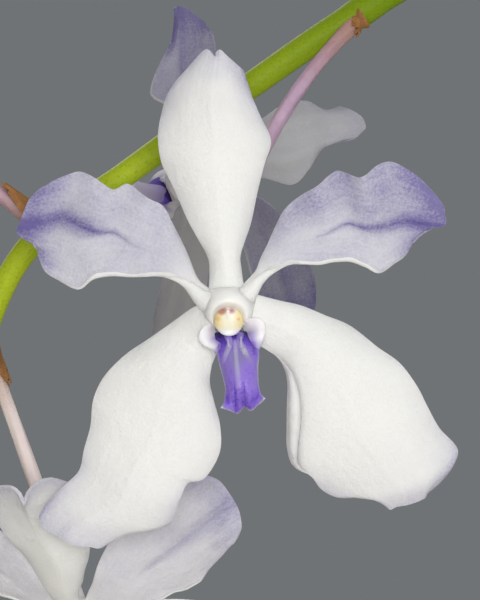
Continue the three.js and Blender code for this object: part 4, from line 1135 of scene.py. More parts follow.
def bract(flower, seed):
    """A dry scale that cradles a stalk on the side towards the spike's foot and frays at its tip."""
    centre, run, out, radius = node_of(flower)
    leave = unit(flower["leave"])
    back = unit(run.dot(leave) * leave - run)
    side = np.cross(leave, back)
    u, v = np.meshgrid(np.linspace(-1, 1, 17), np.linspace(0, 1, 16), indexing="ij")
    turn = u * mix(1.6, 0.9, v**4)
    fray = 0.25 * ripple(np.stack([u * 3, v, v], -1), 0.5, seed) * smoothstep((v - 0.55) / 0.45)
    reach = mix(-0.5, flower.get("bract", 2.3), v) + fray - 0.3 * u**2
    dented = 0.05 * ripple(np.stack([u * 2, v * 2, v], -1), 0.8, seed + 9)
    away = mix(0.95, 0.7, smoothstep(v * 2.5)) + 0.12 * v**3 + dented
    away = away + flower.get("bulge", 0.1) * np.sin(np.pi * v**0.8)
    grid = (
        centre + out * radius * 0.8 + reach[..., None] * leave + (away * np.cos(turn))[..., None] * back
        + (away * np.sin(turn))[..., None] * side
    )
    return sheet(grid, np.full(u.shape, 0.13), bract_paper, np.stack([u, v], -1))


spike_parts += [bract(flower, k) for k, flower in enumerate(BLOOMS + BUDS)]
spike = piece("flower_spike_skin", spike_parts, ["flower_spike"], smooth_under=60)
made_pieces.append(spike)
print("spike:", len(spike.data.polygons), "faces, foot radius", SPIKE_RADIUS[0])

# %% [markdown]
# ## The skin of sepals and petals
# A tepal is a thin white sheet of living cells. Its sap carries violet near the tip and along the veins,
# and hardly any in its back. Tiny domed cells, the papillae, cover it and make it sparkle like fine sugar.
# Light goes in and comes out again a millimetre away, so it never looks like paper. The veins fan out from
# the claw, which is why the pattern follows the sheet's own two directions and not the room's. Each point
# of the sheet carries how violet and how streaky it is and how much painted shade greys it, worked out from
# how far it lies from the claw and the margins. The painted shade greys the whole bloom that is turned away,
# as if it stood in shadow, and the crease beside one sepal's strip. Part of the violet on the sepals' margins
# and tips is painted shade too.

# %% Sepal and petal tissue
tepal_skin, add, here, tepal_uv, violet, streaky, dull = new_material("white_violet_tepal_tissue", "Object",
    "UVMap", "violet", "streaky", "dull")
# The sap lies in soft clouds 2 mm wide and in grains of a few cells, here 0.2 mm so that they show.
clouds = add("TexNoise", (here, 480.0, 4.0, 0.6))
grains = add("TexNoise", (here, 5200.0, 3.0, 0.75))
fibre_place = add("Mapping", {"Vector": tepal_uv, "Scale": (24.0, 6.0, 1.0)})
fibres = add("TexNoise", {"Vector": fibre_place, "Scale": 1.0, "Detail": 5.0, "Roughness": 0.7,
    "Distortion": 0.5})
cloud_range = add("MapRange", (clouds, 0.32, 0.68, 0.86, 1.12))
fibre_range = add("MapRange", (fibres, 0.3, 0.7, 0.88, 1.12))
grain_range = add("MapRange", (grains, 0.35, 0.65, 0.8, 1.2))
patchy = add("Math", (cloud_range, fibre_range))
patchy = add("Math", (patchy, grain_range))
violet_here = add("Math", (violet, patchy), use_clamp=True)
white = add("Mix", (grains, "#e9e9e8", "#fdfdf9"))
tepal_colour = add("Mix", (violet_here, white, "#857eae"))
streak_here = add("Math", (streaky, patchy), use_clamp=True)
tepal_colour = add("Mix", (streak_here, tepal_colour, "#6a609f"))
# Painted shade: where the mesh says so, the colour is greyed towards a dark grey-violet.
tepal_colour = add("Mix", (dull, tepal_colour, "#524e66"))
ridges = add("TexWave", {"Vector": tepal_uv, "Scale": 4.1, "Distortion": 2.5, "Detail": 3.0,
    "Detail Scale": 1.5}, bands_direction="X")
ridge_bump = add("Bump", {"Strength": 0.06, "Distance": 0.00012, "Height": ridges})
# The blade itself is slack and puckers a little, in folds of about 1.5 mm.
puckers = add("TexNoise", (here, 640.0, 3.0, 0.55))
pucker_bump = add("Bump", {"Strength": 0.35, "Distance": 0.0005, "Height": puckers, "Normal": ridge_bump})
papilla_bump = add("Bump", {"Strength": 0.5, "Distance": 0.00016, "Height": grains, "Normal": pucker_bump})
finish_material(add, {"Base Color": tepal_colour, "Roughness": 0.5, "IOR": 1.4, "Subsurface Weight": 0.3,
    "Subsurface Radius": (1.0, 1.0, 1.0), "Subsurface Scale": 0.0005, "Sheen Weight": 0.1,
    "Sheen Roughness": 0.4, "Normal": papilla_bump})

# %% Column wax and stalk skin
column_wax, add, here = new_material("waxy_white_column", "Object")
wax_cloud = add("TexNoise", (here, 700.0, 3.0))
wax = add("Mix", (wax_cloud, "#f1efec", "#fbfaf7"))
wax_bump = add("Bump", {"Strength": 0.2, "Distance": 8e-05, "Height": wax_cloud})
finish_material(add, {"Base Color": wax, "Roughness": 0.38, "IOR": 1.43, "Subsurface Weight": 0.4,
    "Subsurface Radius": (1.0, 0.95, 0.88), "Subsurface Scale": 0.0007, "Normal": wax_bump})

stalk_skin, add, here, share, pale = new_material("lilac_flower_stalk_skin", "Object", "share", "pale")
stalk_cloud = add("TexNoise", (here, 900.0, 4.0))
foot_range = add("MapRange", (share, 0.24, 0.0, 0.0, 0.8))
head_range = add("MapRange", (share, 0.55, 1.0, 0.0, 0.8))
stalk_colour = add("Mix", (stalk_cloud, "#a281a2", "#cdb3c6"))
stalk_colour = add("Mix", (pale, stalk_colour, "#ecdfda"))
stalk_colour = add("Mix", (foot_range, stalk_colour, "#a0764f"))
stalk_colour = add("Mix", (head_range, stalk_colour, "#e9e2ea"))
stalk_bump = add("Bump", {"Strength": 0.25, "Distance": 0.0001, "Height": stalk_cloud})
finish_material(add, {"Base Color": stalk_colour, "Roughness": 0.45, "IOR": 1.42, "Subsurface Weight": 0.25,
    "Subsurface Radius": (1.0, 0.6, 0.7), "Subsurface Scale": 0.0008, "Normal": stalk_bump})

# %% [markdown]
# ## The shape of a tepal
# The outline of each tepal is known from the front bloom: a row of ribs goes across it from margin to
# margin, each with its two ends and with how far its middle stands out of the line between them. Smooth
# curves through the ribs give the sheet. The details that make it alive come on top: the petals' lower
# margins roll forwards and end in a white horn at the claw, a strip of one sepal's margin lies over with a
# crease beside it, a groove follows each petal's middle vein, and every margin waves a little.

# %% Ribs of the five tepals and the lip
# A rib is x, y and z of its first end, of its second end, and how far its middle stands out. The other rows
# are the outline of the tip, the radius of the rolled margin, the horn of the claw as x, y, z and radius,
# how far across the middle vein runs, the dents as share along, share across, length, width and depth, and
# the width of the strip that lies over.
DORSAL_SEPAL = {
    "ribs": [
        [-1.46, 1.1, 0.6, 1.23, 1.1, 0.6, 0.5], [-1.38, 2.9, 0.1, 0.96, 2.9, 0.1, 0.6],
        [-1.62, 4.15, -0.2, 0.92, 4.15, -0.2, 0.6], [-3.0, 6.6, -0.5, 1.69, 6.6, -0.5, 0.8],
        [-4.08, 9.1, -0.7, 2.23, 9.1, -0.7, 0.9], [-5.08, 11.15, -0.9, 2.77, 11.15, -0.8, 0.9],
        [-5.38, 13.1, -1.0, 3.23, 12.9, -0.9, 0.9], [-5.15, 14.8, -1.0, 2.46, 14.7, -0.9, 0.8],
        [-4.54, 16.7, -1.0, 1.77, 16.3, -0.9, 0.7], [-3.3, 18.3, -0.9, 1.15, 18.3, -0.8, 0.4],
    ],
    "tip": [[-2.15, 19.54, -0.9], [-1.54, 19.88, -0.9], [-0.96, 19.3, -0.7], [-0.69, 19.88, -0.9],
            [0.15, 19.15, -0.8]],
}
LEFT_PETAL = {
    "ribs": [
        [-2.15, 0.15, 0.5, -1.3, 1.38, 0.5, 0.2], [-2.85, 1.08, 0.7, -2.33, 2.15, 0.4, 0.2],
        [-4.0, 2.08, 0.9, -3.08, 3.92, -0.2, 0], [-5.23, 2.42, 0.9, -4.12, 6.05, -0.5, -0.3],
        [-6.54, 2.42, 0.8, -5.0, 7.77, -0.7, -0.4], [-7.92, 2.44, 0.6, -6.27, 8.5, -0.5, -0.5],
        [-9.23, 2.46, 0.4, -7.77, 9.54, -0.9, -0.5], [-10.46, 2.17, 0.2, -8.92, 9.12, -0.1, -0.5],
        [-11.6, 1.48, -0.1, -10.23, 9.96, -0.5, -0.5], [-13.1, 2.2, -0.5, -11.5, 10.5, -1.1, -0.4],
        [-14.1, 2.85, -0.7, -13.1, 10.0, -1.0, -0.4], [-14.65, 4.0, -0.9, -14.5, 9.2, -1.0, -0.3],
    ],
    "tip": [[-14.9, 4.9, -1.2], [-15.85, 5.4, -1.5], [-16.35, 5.9, -1.6], [-16.0, 6.8, -1.5],
            [-15.8, 7.5, -1.4], [-15.4, 8.3, -1.2]],
    "roll": [0.5, 0.42, 0.2, 0.14, 0.12, 0.12, 0.16, 0.18, 0.06, 0.03, 0.03, 0.03],
    "claw": [(-0.9, 0.1, 1.15, 0.98), (-1.6, 0.48, 1.15, 0.86), (-2.15, 0.86, 1.12, 0.67),
             (-2.65, 1.33, 1.1, 0.5), (-3.12, 1.75, 1.06, 0.36), (-3.8, 2.14, 1.08, 0.24),
             (-4.7, 2.42, 1.05, 0.15), (-5.6, 2.56, 1.0, 0.09)],
    "vein": [0.3, 0.32, 0.36, 0.5, 0.58, 0.5],
    "dents": [(0.63, 1.0, 0.05, 0.4, 0.5), (0.85, 0.62, 0.06, 0.2, 0.25)],
}
RIGHT_PETAL = {
    "ribs": [
        [2.23, 1.0, 0.5, 1.15, 1.9, 0.5, 0.2], [2.54, 1.73, 0.7, 2.1, 2.75, 0.4, 0.2],
        [3.38, 2.65, 0.9, 2.65, 4.1, -0.1, 0], [4.48, 3.3, 0.9, 3.54, 5.92, -0.4, -0.2],
        [5.77, 3.38, 0.8, 4.46, 7.7, -0.6, -0.4], [7.08, 3.35, 0.6, 5.77, 8.75, -0.5, -0.4],
        [8.23, 3.58, 0.5, 6.9, 9.4, -0.2, -0.5], [9.38, 3.58, 0.3, 8.38, 10.57, -0.9, -0.5],
        [10.46, 3.23, 0.1, 10.15, 10.04, -0.1, -0.5], [11.6, 2.72, -0.1, 11.46, 10.96, -0.6, -0.5],
        [12.77, 3.45, -0.5, 12.6, 11.25, -1.1, -0.4], [13.7, 4.15, -0.7, 14.23, 10.44, -1.0, -0.4],
        [14.3, 5.3, -0.9, 15.54, 9.25, -1.0, -0.3],
    ],
    "tip": [[15.08, 5.92, -1.2], [16.0, 6.23, -1.5], [16.77, 6.46, -1.6], [16.8, 7.08, -1.5],
            [16.58, 8.0, -1.2]],
    "roll": [0.5, 0.4, 0.24, 0.16, 0.1, 0.09, 0.14, 0.18, 0.14, 0.04, 0.03, 0.03, 0.03],
    "claw": [(0.9, 0.4, 1.15, 0.98), (1.42, 0.98, 1.15, 0.78), (1.88, 1.5, 1.12, 0.58),
             (2.34, 2.06, 1.08, 0.42), (3.0, 2.62, 1.06, 0.29), (3.65, 2.98, 1.08, 0.21),
             (4.5, 3.36, 1.05, 0.14), (5.4, 3.5, 1.0, 0.09)],
    "vein": [0.3, 0.33, 0.36, 0.42, 0.46, 0.42],
    "dents": [(0.6, 1.0, 0.05, 0.35, 0.45), (0.37, 1.0, 0.04, 0.25, 0.25)],
}
LEFT_SEPAL = {
    "ribs": [
        [-1.77, 0.3, 1.0, -1.08, -1.92, 0.9, 0.3], [-2.77, -0.04, 0.4, -0.88, -3.23, 0.25, 0.5],
        [-4.3, -1.15, -0.4, -1.3, -4.46, -0.4, 0.5], [-6.15, -2.46, -0.6, -1.5, -5.77, -0.5, 0.6],
        [-8.0, -3.73, -0.8, -1.15, -7.23, -0.6, 0.6], [-9.54, -5.3, -1.1, -0.65, -9.23, -0.7, 0.6],
        [-10.4, -7.1, -1.3, -0.7, -11.15, -0.8, 0.6], [-10.6, -9.1, -1.3, -1.85, -13.1, -0.7, 0.6],
        [-11.1, -10.9, -1.2, -3.15, -13.5, -0.4, 0.5], [-11.5, -12.6, -1.1, -3.77, -14.85, -0.3, 0.5],
        [-12.8, -13.85, -1.0, -4.6, -16.7, -0.7, 0.4], [-14.0, -15.1, -1.0, -6.77, -16.85, -0.8, 0.3],
        [-14.6, -16.15, -1.0, -8.9, -17.7, -0.9, 0.3],
    ],
    "tip": [[-14.3, -17.0, -1.2], [-13.4, -17.5, -1.2], [-12.7, -17.85, -1.0], [-12.0, -18.3, -1.1],
            [-10.8, -18.4, -1.1], [-9.9, -18.5, -1.0]],
}
RIGHT_SEPAL = {
    "ribs": [
        [1.46, -1.77, 0.9, 2.15, 1.0, 1.0, 0.3], [2.3, -2.77, 0.25, 3.7, 0.58, 0.4, 0.5],
        [3.7, -3.65, -0.2, 5.54, 0.15, -0.4, 0.5], [4.42, -4.7, -0.2, 7.46, -0.62, -0.6, 0.6],
        [4.65, -6.0, -0.2, 9.4, -1.46, -0.8, 0.7], [4.6, -7.54, -0.2, 11.5, -3.08, -0.9, 0.7],
        [4.58, -9.23, -0.3, 13.2, -4.3, -1.0, 0.6], [4.63, -10.9, -0.5, 14.5, -6.0, -1.0, 0.5],
        [5.08, -12.15, -0.7, 15.4, -7.77, -0.9, 0.4], [6.4, -13.0, -0.7, 16.3, -9.35, -1.1, 0.4],
        [7.23, -14.0, -0.9, 17.4, -10.5, -1.3, 0.4], [8.46, -14.6, -0.8, 17.7, -11.23, -1.3, 0.4],
        [9.85, -14.4, -0.5, 17.2, -12.4, -1.1, 0.3], [11.15, -14.5, -0.6, 16.3, -13.54, -1.1, 0.2],
    ],
    "tip": [[12.1, -15.0, -0.8], [12.5, -15.5, -0.9], [13.0, -15.3, -0.9], [14.0, -15.1, -1.0],
            [15.0, -14.7, -1.1], [15.3, -14.3, -1.1]],
    "strip": [0, 0, 0.1, 0.3, 0.7, 1.1, 1.15, 0.85, 0.35, 0, 0, 0, 0, 0],
}
LIP = {
    "ribs": [
        [-1.05, -2.0, 1.5, 2.0, -2.0, 1.5, -0.3], [-0.9, -3.3, 3.2, 2.35, -3.2, 3.2, -0.5],
        [-0.55, -4.5, 4.4, 2.23, -4.3, 4.4, 0.4], [-0.3, -5.4, 5.0, 2.2, -5.23, 5.0, 0.6],
        [-0.15, -6.2, 5.2, 2.3, -6.15, 5.2, 0.6], [-0.28, -7.1, 5.1, 2.5, -6.6, 5.1, 0.4],
        [-0.57, -7.54, 5.3, 2.8, -6.8, 5.3, 0],
    ],
    "tip": [[0.08, -7.77, 5.0], [0.7, -7.97, 4.8], [1.24, -7.3, 4.8], [1.7, -7.73, 4.8], [2.28, -7.38, 5.0]],
}
# No two blooms are cut alike. These tepals, of the bloom turned away and of the one below, have their own
# outlines. The key is the bloom's number and the tepal's, counted dorsal, left sepal, right sepal, petals.
OWN_SHAPES = {
    (5, 0): {
        "dents": [(0.55, 0.3, 0.25, 0.12, 0.8), (0.6, 0.72, 0.2, 0.12, 0.8), (0.85, 0.5, 0.1, 0.2, -0.5)],
        "ribs": [
            [-1.4, 1.1, 0.1, 1.2, 1.2, 0.2, -0.2], [-1.5, 3.6, 0.2, 1.0, 3.8, 0.1, -0.4],
            [-2.5, 6.0, 0.5, 1.6, 6.9, 0.3, -0.6], [-3.7, 7.7, 1.2, 2.3, 9.6, 1.1, -0.7],
            [-4.7, 9.3, 2.3, 3.0, 11.9, 2.2, -0.7], [-3.8, 11.2, 3.2, 2.7, 13.9, 3.5, -0.6],
            [-2.0, 12.9, 4.1, 1.5, 15.1, 4.7, -0.4], [-1.8, 15.5, 6.0, 1.7, 16.5, 6.1, -0.3],
        ],
        "tip": [
            [-1.8, 16.5, 6.8], [-1.2, 17.5, 7.6], [-0.8, 17.9, 7.5], [0.2, 17.9, 7.4],
            [1.0, 17.3, 6.6],
        ],
    },
    (5, 4): {
        "ribs": [
            [2.2, 1.0, 0.6, 1.2, 2.0, 0.6, 0.2], [3.7, 2.8, 1.0, 2.4, 3.8, 0.2, 0.2],
            [6.1, 3.4, 1.2, 4.4, 6.5, 0.3, 0.4], [8.0, 2.0, 1.4, 7.5, 7.7, 1.1, 0.6],
            [10.1, 0.9, 1.4, 10.7, 8.2, 2.0, 0.5], [12.4, 2.9, 1.7, 12.8, 8.8, 2.1, 0.6],
            [14.2, 5.2, 1.9, 15.0, 8.5, 3.0, 0.3],
        ],
        "tip": [
            [15.3, 6.1, 1.7], [16.8, 6.5, 1.6], [17.3, 6.8, 2.0], [17.0, 7.4, 2.4],
            [16.1, 7.9, 2.8],
        ],
        "roll": [0.3, 0.2, 0.12, 0.1, 0.1, 0.05, 0.03], "vein": [0.5, 0.5],
    },
    (5, 3): {
        "ribs": [
            [-2.1, 0.1, 0.5, -1.3, 1.4, 0.5, 0], [-3.6, 1.7, 1.0, -3.0, 3.7, 0.1, 0.1],
            [-5.9, 2.5, 1.3, -4.9, 5.8, 0.1, 0.3], [-8.4, 2.4, 1.3, -7.7, 7.1, 0.7, 0.4],
            [-10.7, 2.0, 1.3, -10.5, 7.6, 1.9, 0.4], [-13.3, 1.7, 1.2, -14.0, 7.1, 1.9, 0.3],
            [-15.2, 2.1, 1.5, -15.8, 6.4, 2.2, 0.2],
        ],
        "tip": [
            [-16.1, 2.4, 1.5], [-17.0, 3.1, 1.3], [-17.5, 3.9, 1.4], [-17.4, 4.9, 1.8],
            [-16.7, 5.8, 2.1],
        ],
        "roll": [0.3, 0.2, 0.12, 0.1, 0.1, 0.05, 0.03], "vein": [0.5, 0.5],
    },
    (5, 1): {
        "dents": [(0.5, 0.35, 0.3, 0.12, 0.7), (0.75, 0.65, 0.15, 0.15, 0.6)],
        "ribs": [
            [-1.6, 0.0, -0.0, -2.2, 0.4, 0.6, -0.2], [-2.1, -1.2, -0.2, -4.1, -0.0, 1.8, -0.4],
            [-2.9, -2.9, 1.2, -5.8, -0.7, 3.7, -0.5], [-4.0, -4.6, 4.2, -7.0, -2.1, 7.2, -0.5],
            [-5.3, -6.5, 7.9, -8.6, -4.0, 9.8, -0.4], [-6.1, -8.5, 11.9, -9.4, -6.1, 13.2, -0.4],
            [-6.8, -10.0, 15.3, -9.7, -8.3, 15.1, -0.3],
        ],
        "tip": [
            [-7.5, -10.6, 15.9], [-8.2, -10.9, 16.2], [-8.9, -10.7, 16.4], [-9.5, -10.1, 16.3],
            [-9.7, -9.2, 15.9],
        ],
    },
    (5, 2): {
        "ribs": [
            [0.4, -0.6, -1.3, 1.3, 1.1, -1.5, -0.2], [1.4, -1.4, 1.8, 2.5, 1.1, 1.6, -0.4],
            [2.5, -2.0, 5.4, 3.4, 0.9, 5.3, -0.6], [3.5, -2.5, 8.6, 4.0, 0.5, 8.6, -0.6],
            [4.2, -3.0, 11.2, 4.3, -0.0, 11.3, -0.5], [4.6, -3.3, 13.3, 4.3, -0.8, 13.6, -0.4],
            [4.7, -3.5, 14.7, 4.3, -1.5, 15.0, -0.2],
        ],
        "tip": [
            [4.4, -3.6, 14.8], [4.1, -3.4, 14.9], [3.8, -3.1, 15.0], [3.7, -2.6, 15.1],
            [3.9, -2.0, 15.0],
        ],
    },
    (7, 0): {
        "ribs": [
            [-1.0, 1.6, -0.4, 1.2, 1.3, -0.1, 0.4], [-1.2, 3.7, -0.4, 0.7, 3.6, -0.3, 0.6],
            [-1.5, 6.5, -0.4, 1.6, 6.0, 0.0, 0.8], [-1.9, 9.9, -0.7, 2.9, 9.0, 0.4, 0.9],
            [-2.7, 13.0, -1.2, 3.7, 11.8, 0.0, 0.9], [-2.9, 15.8, -1.5, 4.1, 14.5, -0.2, 0.7],
            [-2.7, 18.0, -1.1, 4.2, 16.8, 0.3, 0.4],
        ],
        "tip": [
            [-2.1, 18.5, -1.4], [-1.2, 18.9, -1.2], [-0.5, 19.2, -0.7], [-0.1, 18.9, -0.1],
            [-0.1, 18.3, 0.4], [0.4, 18.7, -0.2], [1.4, 19.2, -0.5], [2.5, 19.0, -0.5],
            [3.4, 18.2, -0.3], [4.0, 17.4, -0.1],
        ],
    },
    (7, 4): {
        "ribs": [
            [0.3, 0.3, 1.3, 0.0, 1.9, 0.5, 0.2], [2.5, 1.8, 1.8, 1.4, 3.8, 0.2, -0.1],
            [5.0, 2.4, 1.9, 3.1, 7.0, 0.2, -0.3], [7.5, 2.4, 1.8, 5.6, 9.5, -0.3, -0.4],
            [9.5, 2.0, 1.5, 8.6, 10.8, -0.9, -0.5], [11.3, 2.4, 0.7, 11.4, 11.5, -1.3, -0.5],
            [13.9, 4.0, 0.5, 13.3, 10.3, -2.2, -0.3],
        ],
        "tip": [
            [14.8, 4.6, -0.1], [15.1, 5.2, -0.6], [15.2, 5.9, -1.4], [15.0, 6.9, -2.0],
            [14.6, 8.4, -2.5], [14.0, 9.6, -2.4],
        ],
        "roll": [0.3, 0.2, 0.12, 0.1, 0.1, 0.05, 0.03], "vein": [0.4, 0.5],
    },
    (7, 3): {
        "ribs": [
            [-1.4, 0.4, 0.2, 0.1, 1.7, 0.2, 0.2], [-2.3, 3.2, -0.6, -1.2, 3.8, -0.3, -0.1],
            [-3.8, 4.4, -1.3, -1.6, 7.0, -0.4, -0.3], [-5.6, 5.1, -2.4, -2.1, 10.0, -1.8, -0.4],
            [-7.8, 5.3, -3.7, -3.6, 11.9, -3.0, -0.5], [-9.9, 5.9, -4.6, -5.9, 13.1, -4.0, -0.4],
            [-11.6, 7.5, -4.8, -9.1, 12.4, -4.6, -0.3],
        ],
        "tip": [
            [-12.1, 8.0, -4.9], [-12.3, 8.5, -5.3], [-12.3, 9.5, -5.4], [-11.7, 10.8, -5.2],
            [-10.5, 11.9, -4.9],
        ],
        "roll": [0.3, 0.2, 0.12, 0.1, 0.1, 0.05, 0.03], "vein": [0.4, 0.5],
    },
}
REACH = 18.0  # a lean is the turn in radians that a tepal has reached this far out

# %% From ribs to a sheet
def sheet_of(outline, rows, columns):
    """A tepal's sheet, and the share across and along of each point. A rolled margin is below 0 across."""
    up = np.linspace(0, 1, rows + 1)
    crowded = 0.84  # near 1, the points crowd towards the margins
    swing = np.linspace(np.pi / 2, -np.pi / 2, columns + 1) * crowded
    across = 0.5 - 0.5 * np.sin(swing) / math.sin(np.pi / 2 * crowded)
    ribs, last = np.array(outline["ribs"], float), np.array(outline["ribs"][-1], float)
    rib = along(ribs, up)[:, None, :]
    edge = along([last[:3], *outline["tip"], last[3:6]], across)
    a = across[None, :, None]
    grid = mix(rib[..., :3], rib[..., 3:6], a)
    grid = grid + (edge - mix(last[:3], last[3:6], across[:, None]))[None] * up[:, None, None] ** 4
    grid[..., 2] += 4 * across * (1 - across) * rib[..., 6]
    a, v = np.meshgrid(across, up)
    return grid, a, v


def vein_line(outline, v):
    """How far across the middle vein runs, for each share along."""
    return along(np.array(outline.get("vein", [0.5, 0.5]), float), v[:, 0])[:, None]


def liven(grid, a, v, outline, seed, waves=0.13):
    """Waves in the margins, slack folds, the groove of the middle vein and a margin that folds back."""
    rim = np.abs(2 * a - 1)
    width = np.linalg.norm(grid[:, -1] - grid[:, 0], axis=1)[:, None]
    phase = np.random.default_rng(seed).uniform(0, 6.28, 4)
    z = 0.1 * ripple(grid, 4.5, seed) * smoothstep(v * 3) + 0.065 * width * (1 - rim**2) * smoothstep(v * 4)
    z += waves * rim**4 * np.sin(v * 19 + phase[0] + (a > 0.5) * phase[1]) * smoothstep(v * 4)
    z += 0.45 * waves * rim**6 * np.sin(v * 43 + phase[2] + (a > 0.5) * phase[3]) * smoothstep(v * 4)
    from_vein = (a - vein_line(outline, v)) * width
    if "vein" in outline:
        groove = 0.13 * np.exp(-((from_vein / 0.28) ** 2))
        z -= groove * smoothstep((v - 0.3) / 0.25) * smoothstep((1 - v) / 0.1)
    else:
        z += 0.06 * np.exp(-((from_vein / 0.3) ** 2)) * (1 - v**4)
    for at_v, at_a, long, wide, deep in outline.get("dents", ()):
        z -= deep * np.exp(-(((v - at_v) / long) ** 2) - ((a - at_a) / wide) ** 2)
    if "strip" in outline:  # a strip of the margin swells and lies over, with a crease beside it
        strip = np.maximum(along(np.array(outline["strip"], float), v[:, 0])[:, None], 0.02)
        off, there = a * width, smoothstep(strip / 0.4)
        swell = 0.3 * np.sin(np.pi * np.clip(off / strip, 0, 1))
        z += there * (swell - 0.32 * np.exp(-(((off - strip) / 0.2) ** 2)))
        z -= 0.35 * there * smoothstep(1 - off / 0.35)
    grid[..., 2] += z
    return grid


def roll_forward(grid, a, v, outline, steps=11):
    """Rolls the first margin forwards into a tube, as thick as the outline says and closed at the claw."""
    radius = along(np.array(outline["roll"], float), v[:, 0])[:, None]
    inwards = unit(grid[:, 3] - grid[:, 0])
    grid = grid + (inwards * radius)[:, None, :] * ((1 - a) ** 5)[..., None]
    claw = 0.5 * smoothstep(1 - v / 0.08)
    grid = mix(grid, np.array([0.0, 0.35, 0.2]), claw[..., None])
    radius = radius * mix(0.2, 1.0, smoothstep((v[:, :1] - 0.06) / 0.2))
    fold = grid[:, 0]
    ahead = unit(np.array([0, 0, 1.0]) - inwards * inwards[:, 2:])
    far = np.radians(mix(300, 200, smoothstep(v[:, :1] / 0.3)))
    tube = []
    for k in range(steps):
        turn = mix(far, math.radians(25), k / (steps - 1))
        tube.append(fold + radius * (ahead * (1 - np.cos(turn)) - inwards * np.sin(turn)))
    grid = np.concatenate([np.stack(tube, 1), grid], 1)
    extra = np.repeat(np.linspace(-0.12, -0.01, steps)[None], len(grid), 0)
    return grid, np.concatenate([extra, a], 1), np.concatenate([np.repeat(v[:, :1], steps, 1), v], 1)


def lean_forward(points, lean):
    """Bends a sheet forwards round the bloom's centre without stretching it."""
    reach = np.hypot(points[..., 0], points[..., 1])
    turn = lean * reach / REACH
    safe = np.where(np.abs(turn) < 1e-6, 1e-6, turn)
    out = np.sin(safe) / safe - points[..., 2] * np.sin(safe) / np.maximum(reach, 1e-6)
    z = reach * (1 - np.cos(safe)) / safe + points[..., 2] * np.cos(safe)
    return np.stack([points[..., 0] * out, points[..., 1] * out, z], -1)


def on_spike(bloom, points):
    """From a bloom's own frame, with +Y up to the dorsal sepal and +Z out of its face, to its place."""
    face = unit(bloom["face"])
    up = np.array(bloom["up"], float)
    up = unit(up - up.dot(face) * face)
    right = np.cross(up, face)
    points = np.asarray(points) * bloom["size"]
    return np.array(bloom["centre"]) + points @ np.stack([right, up, face])


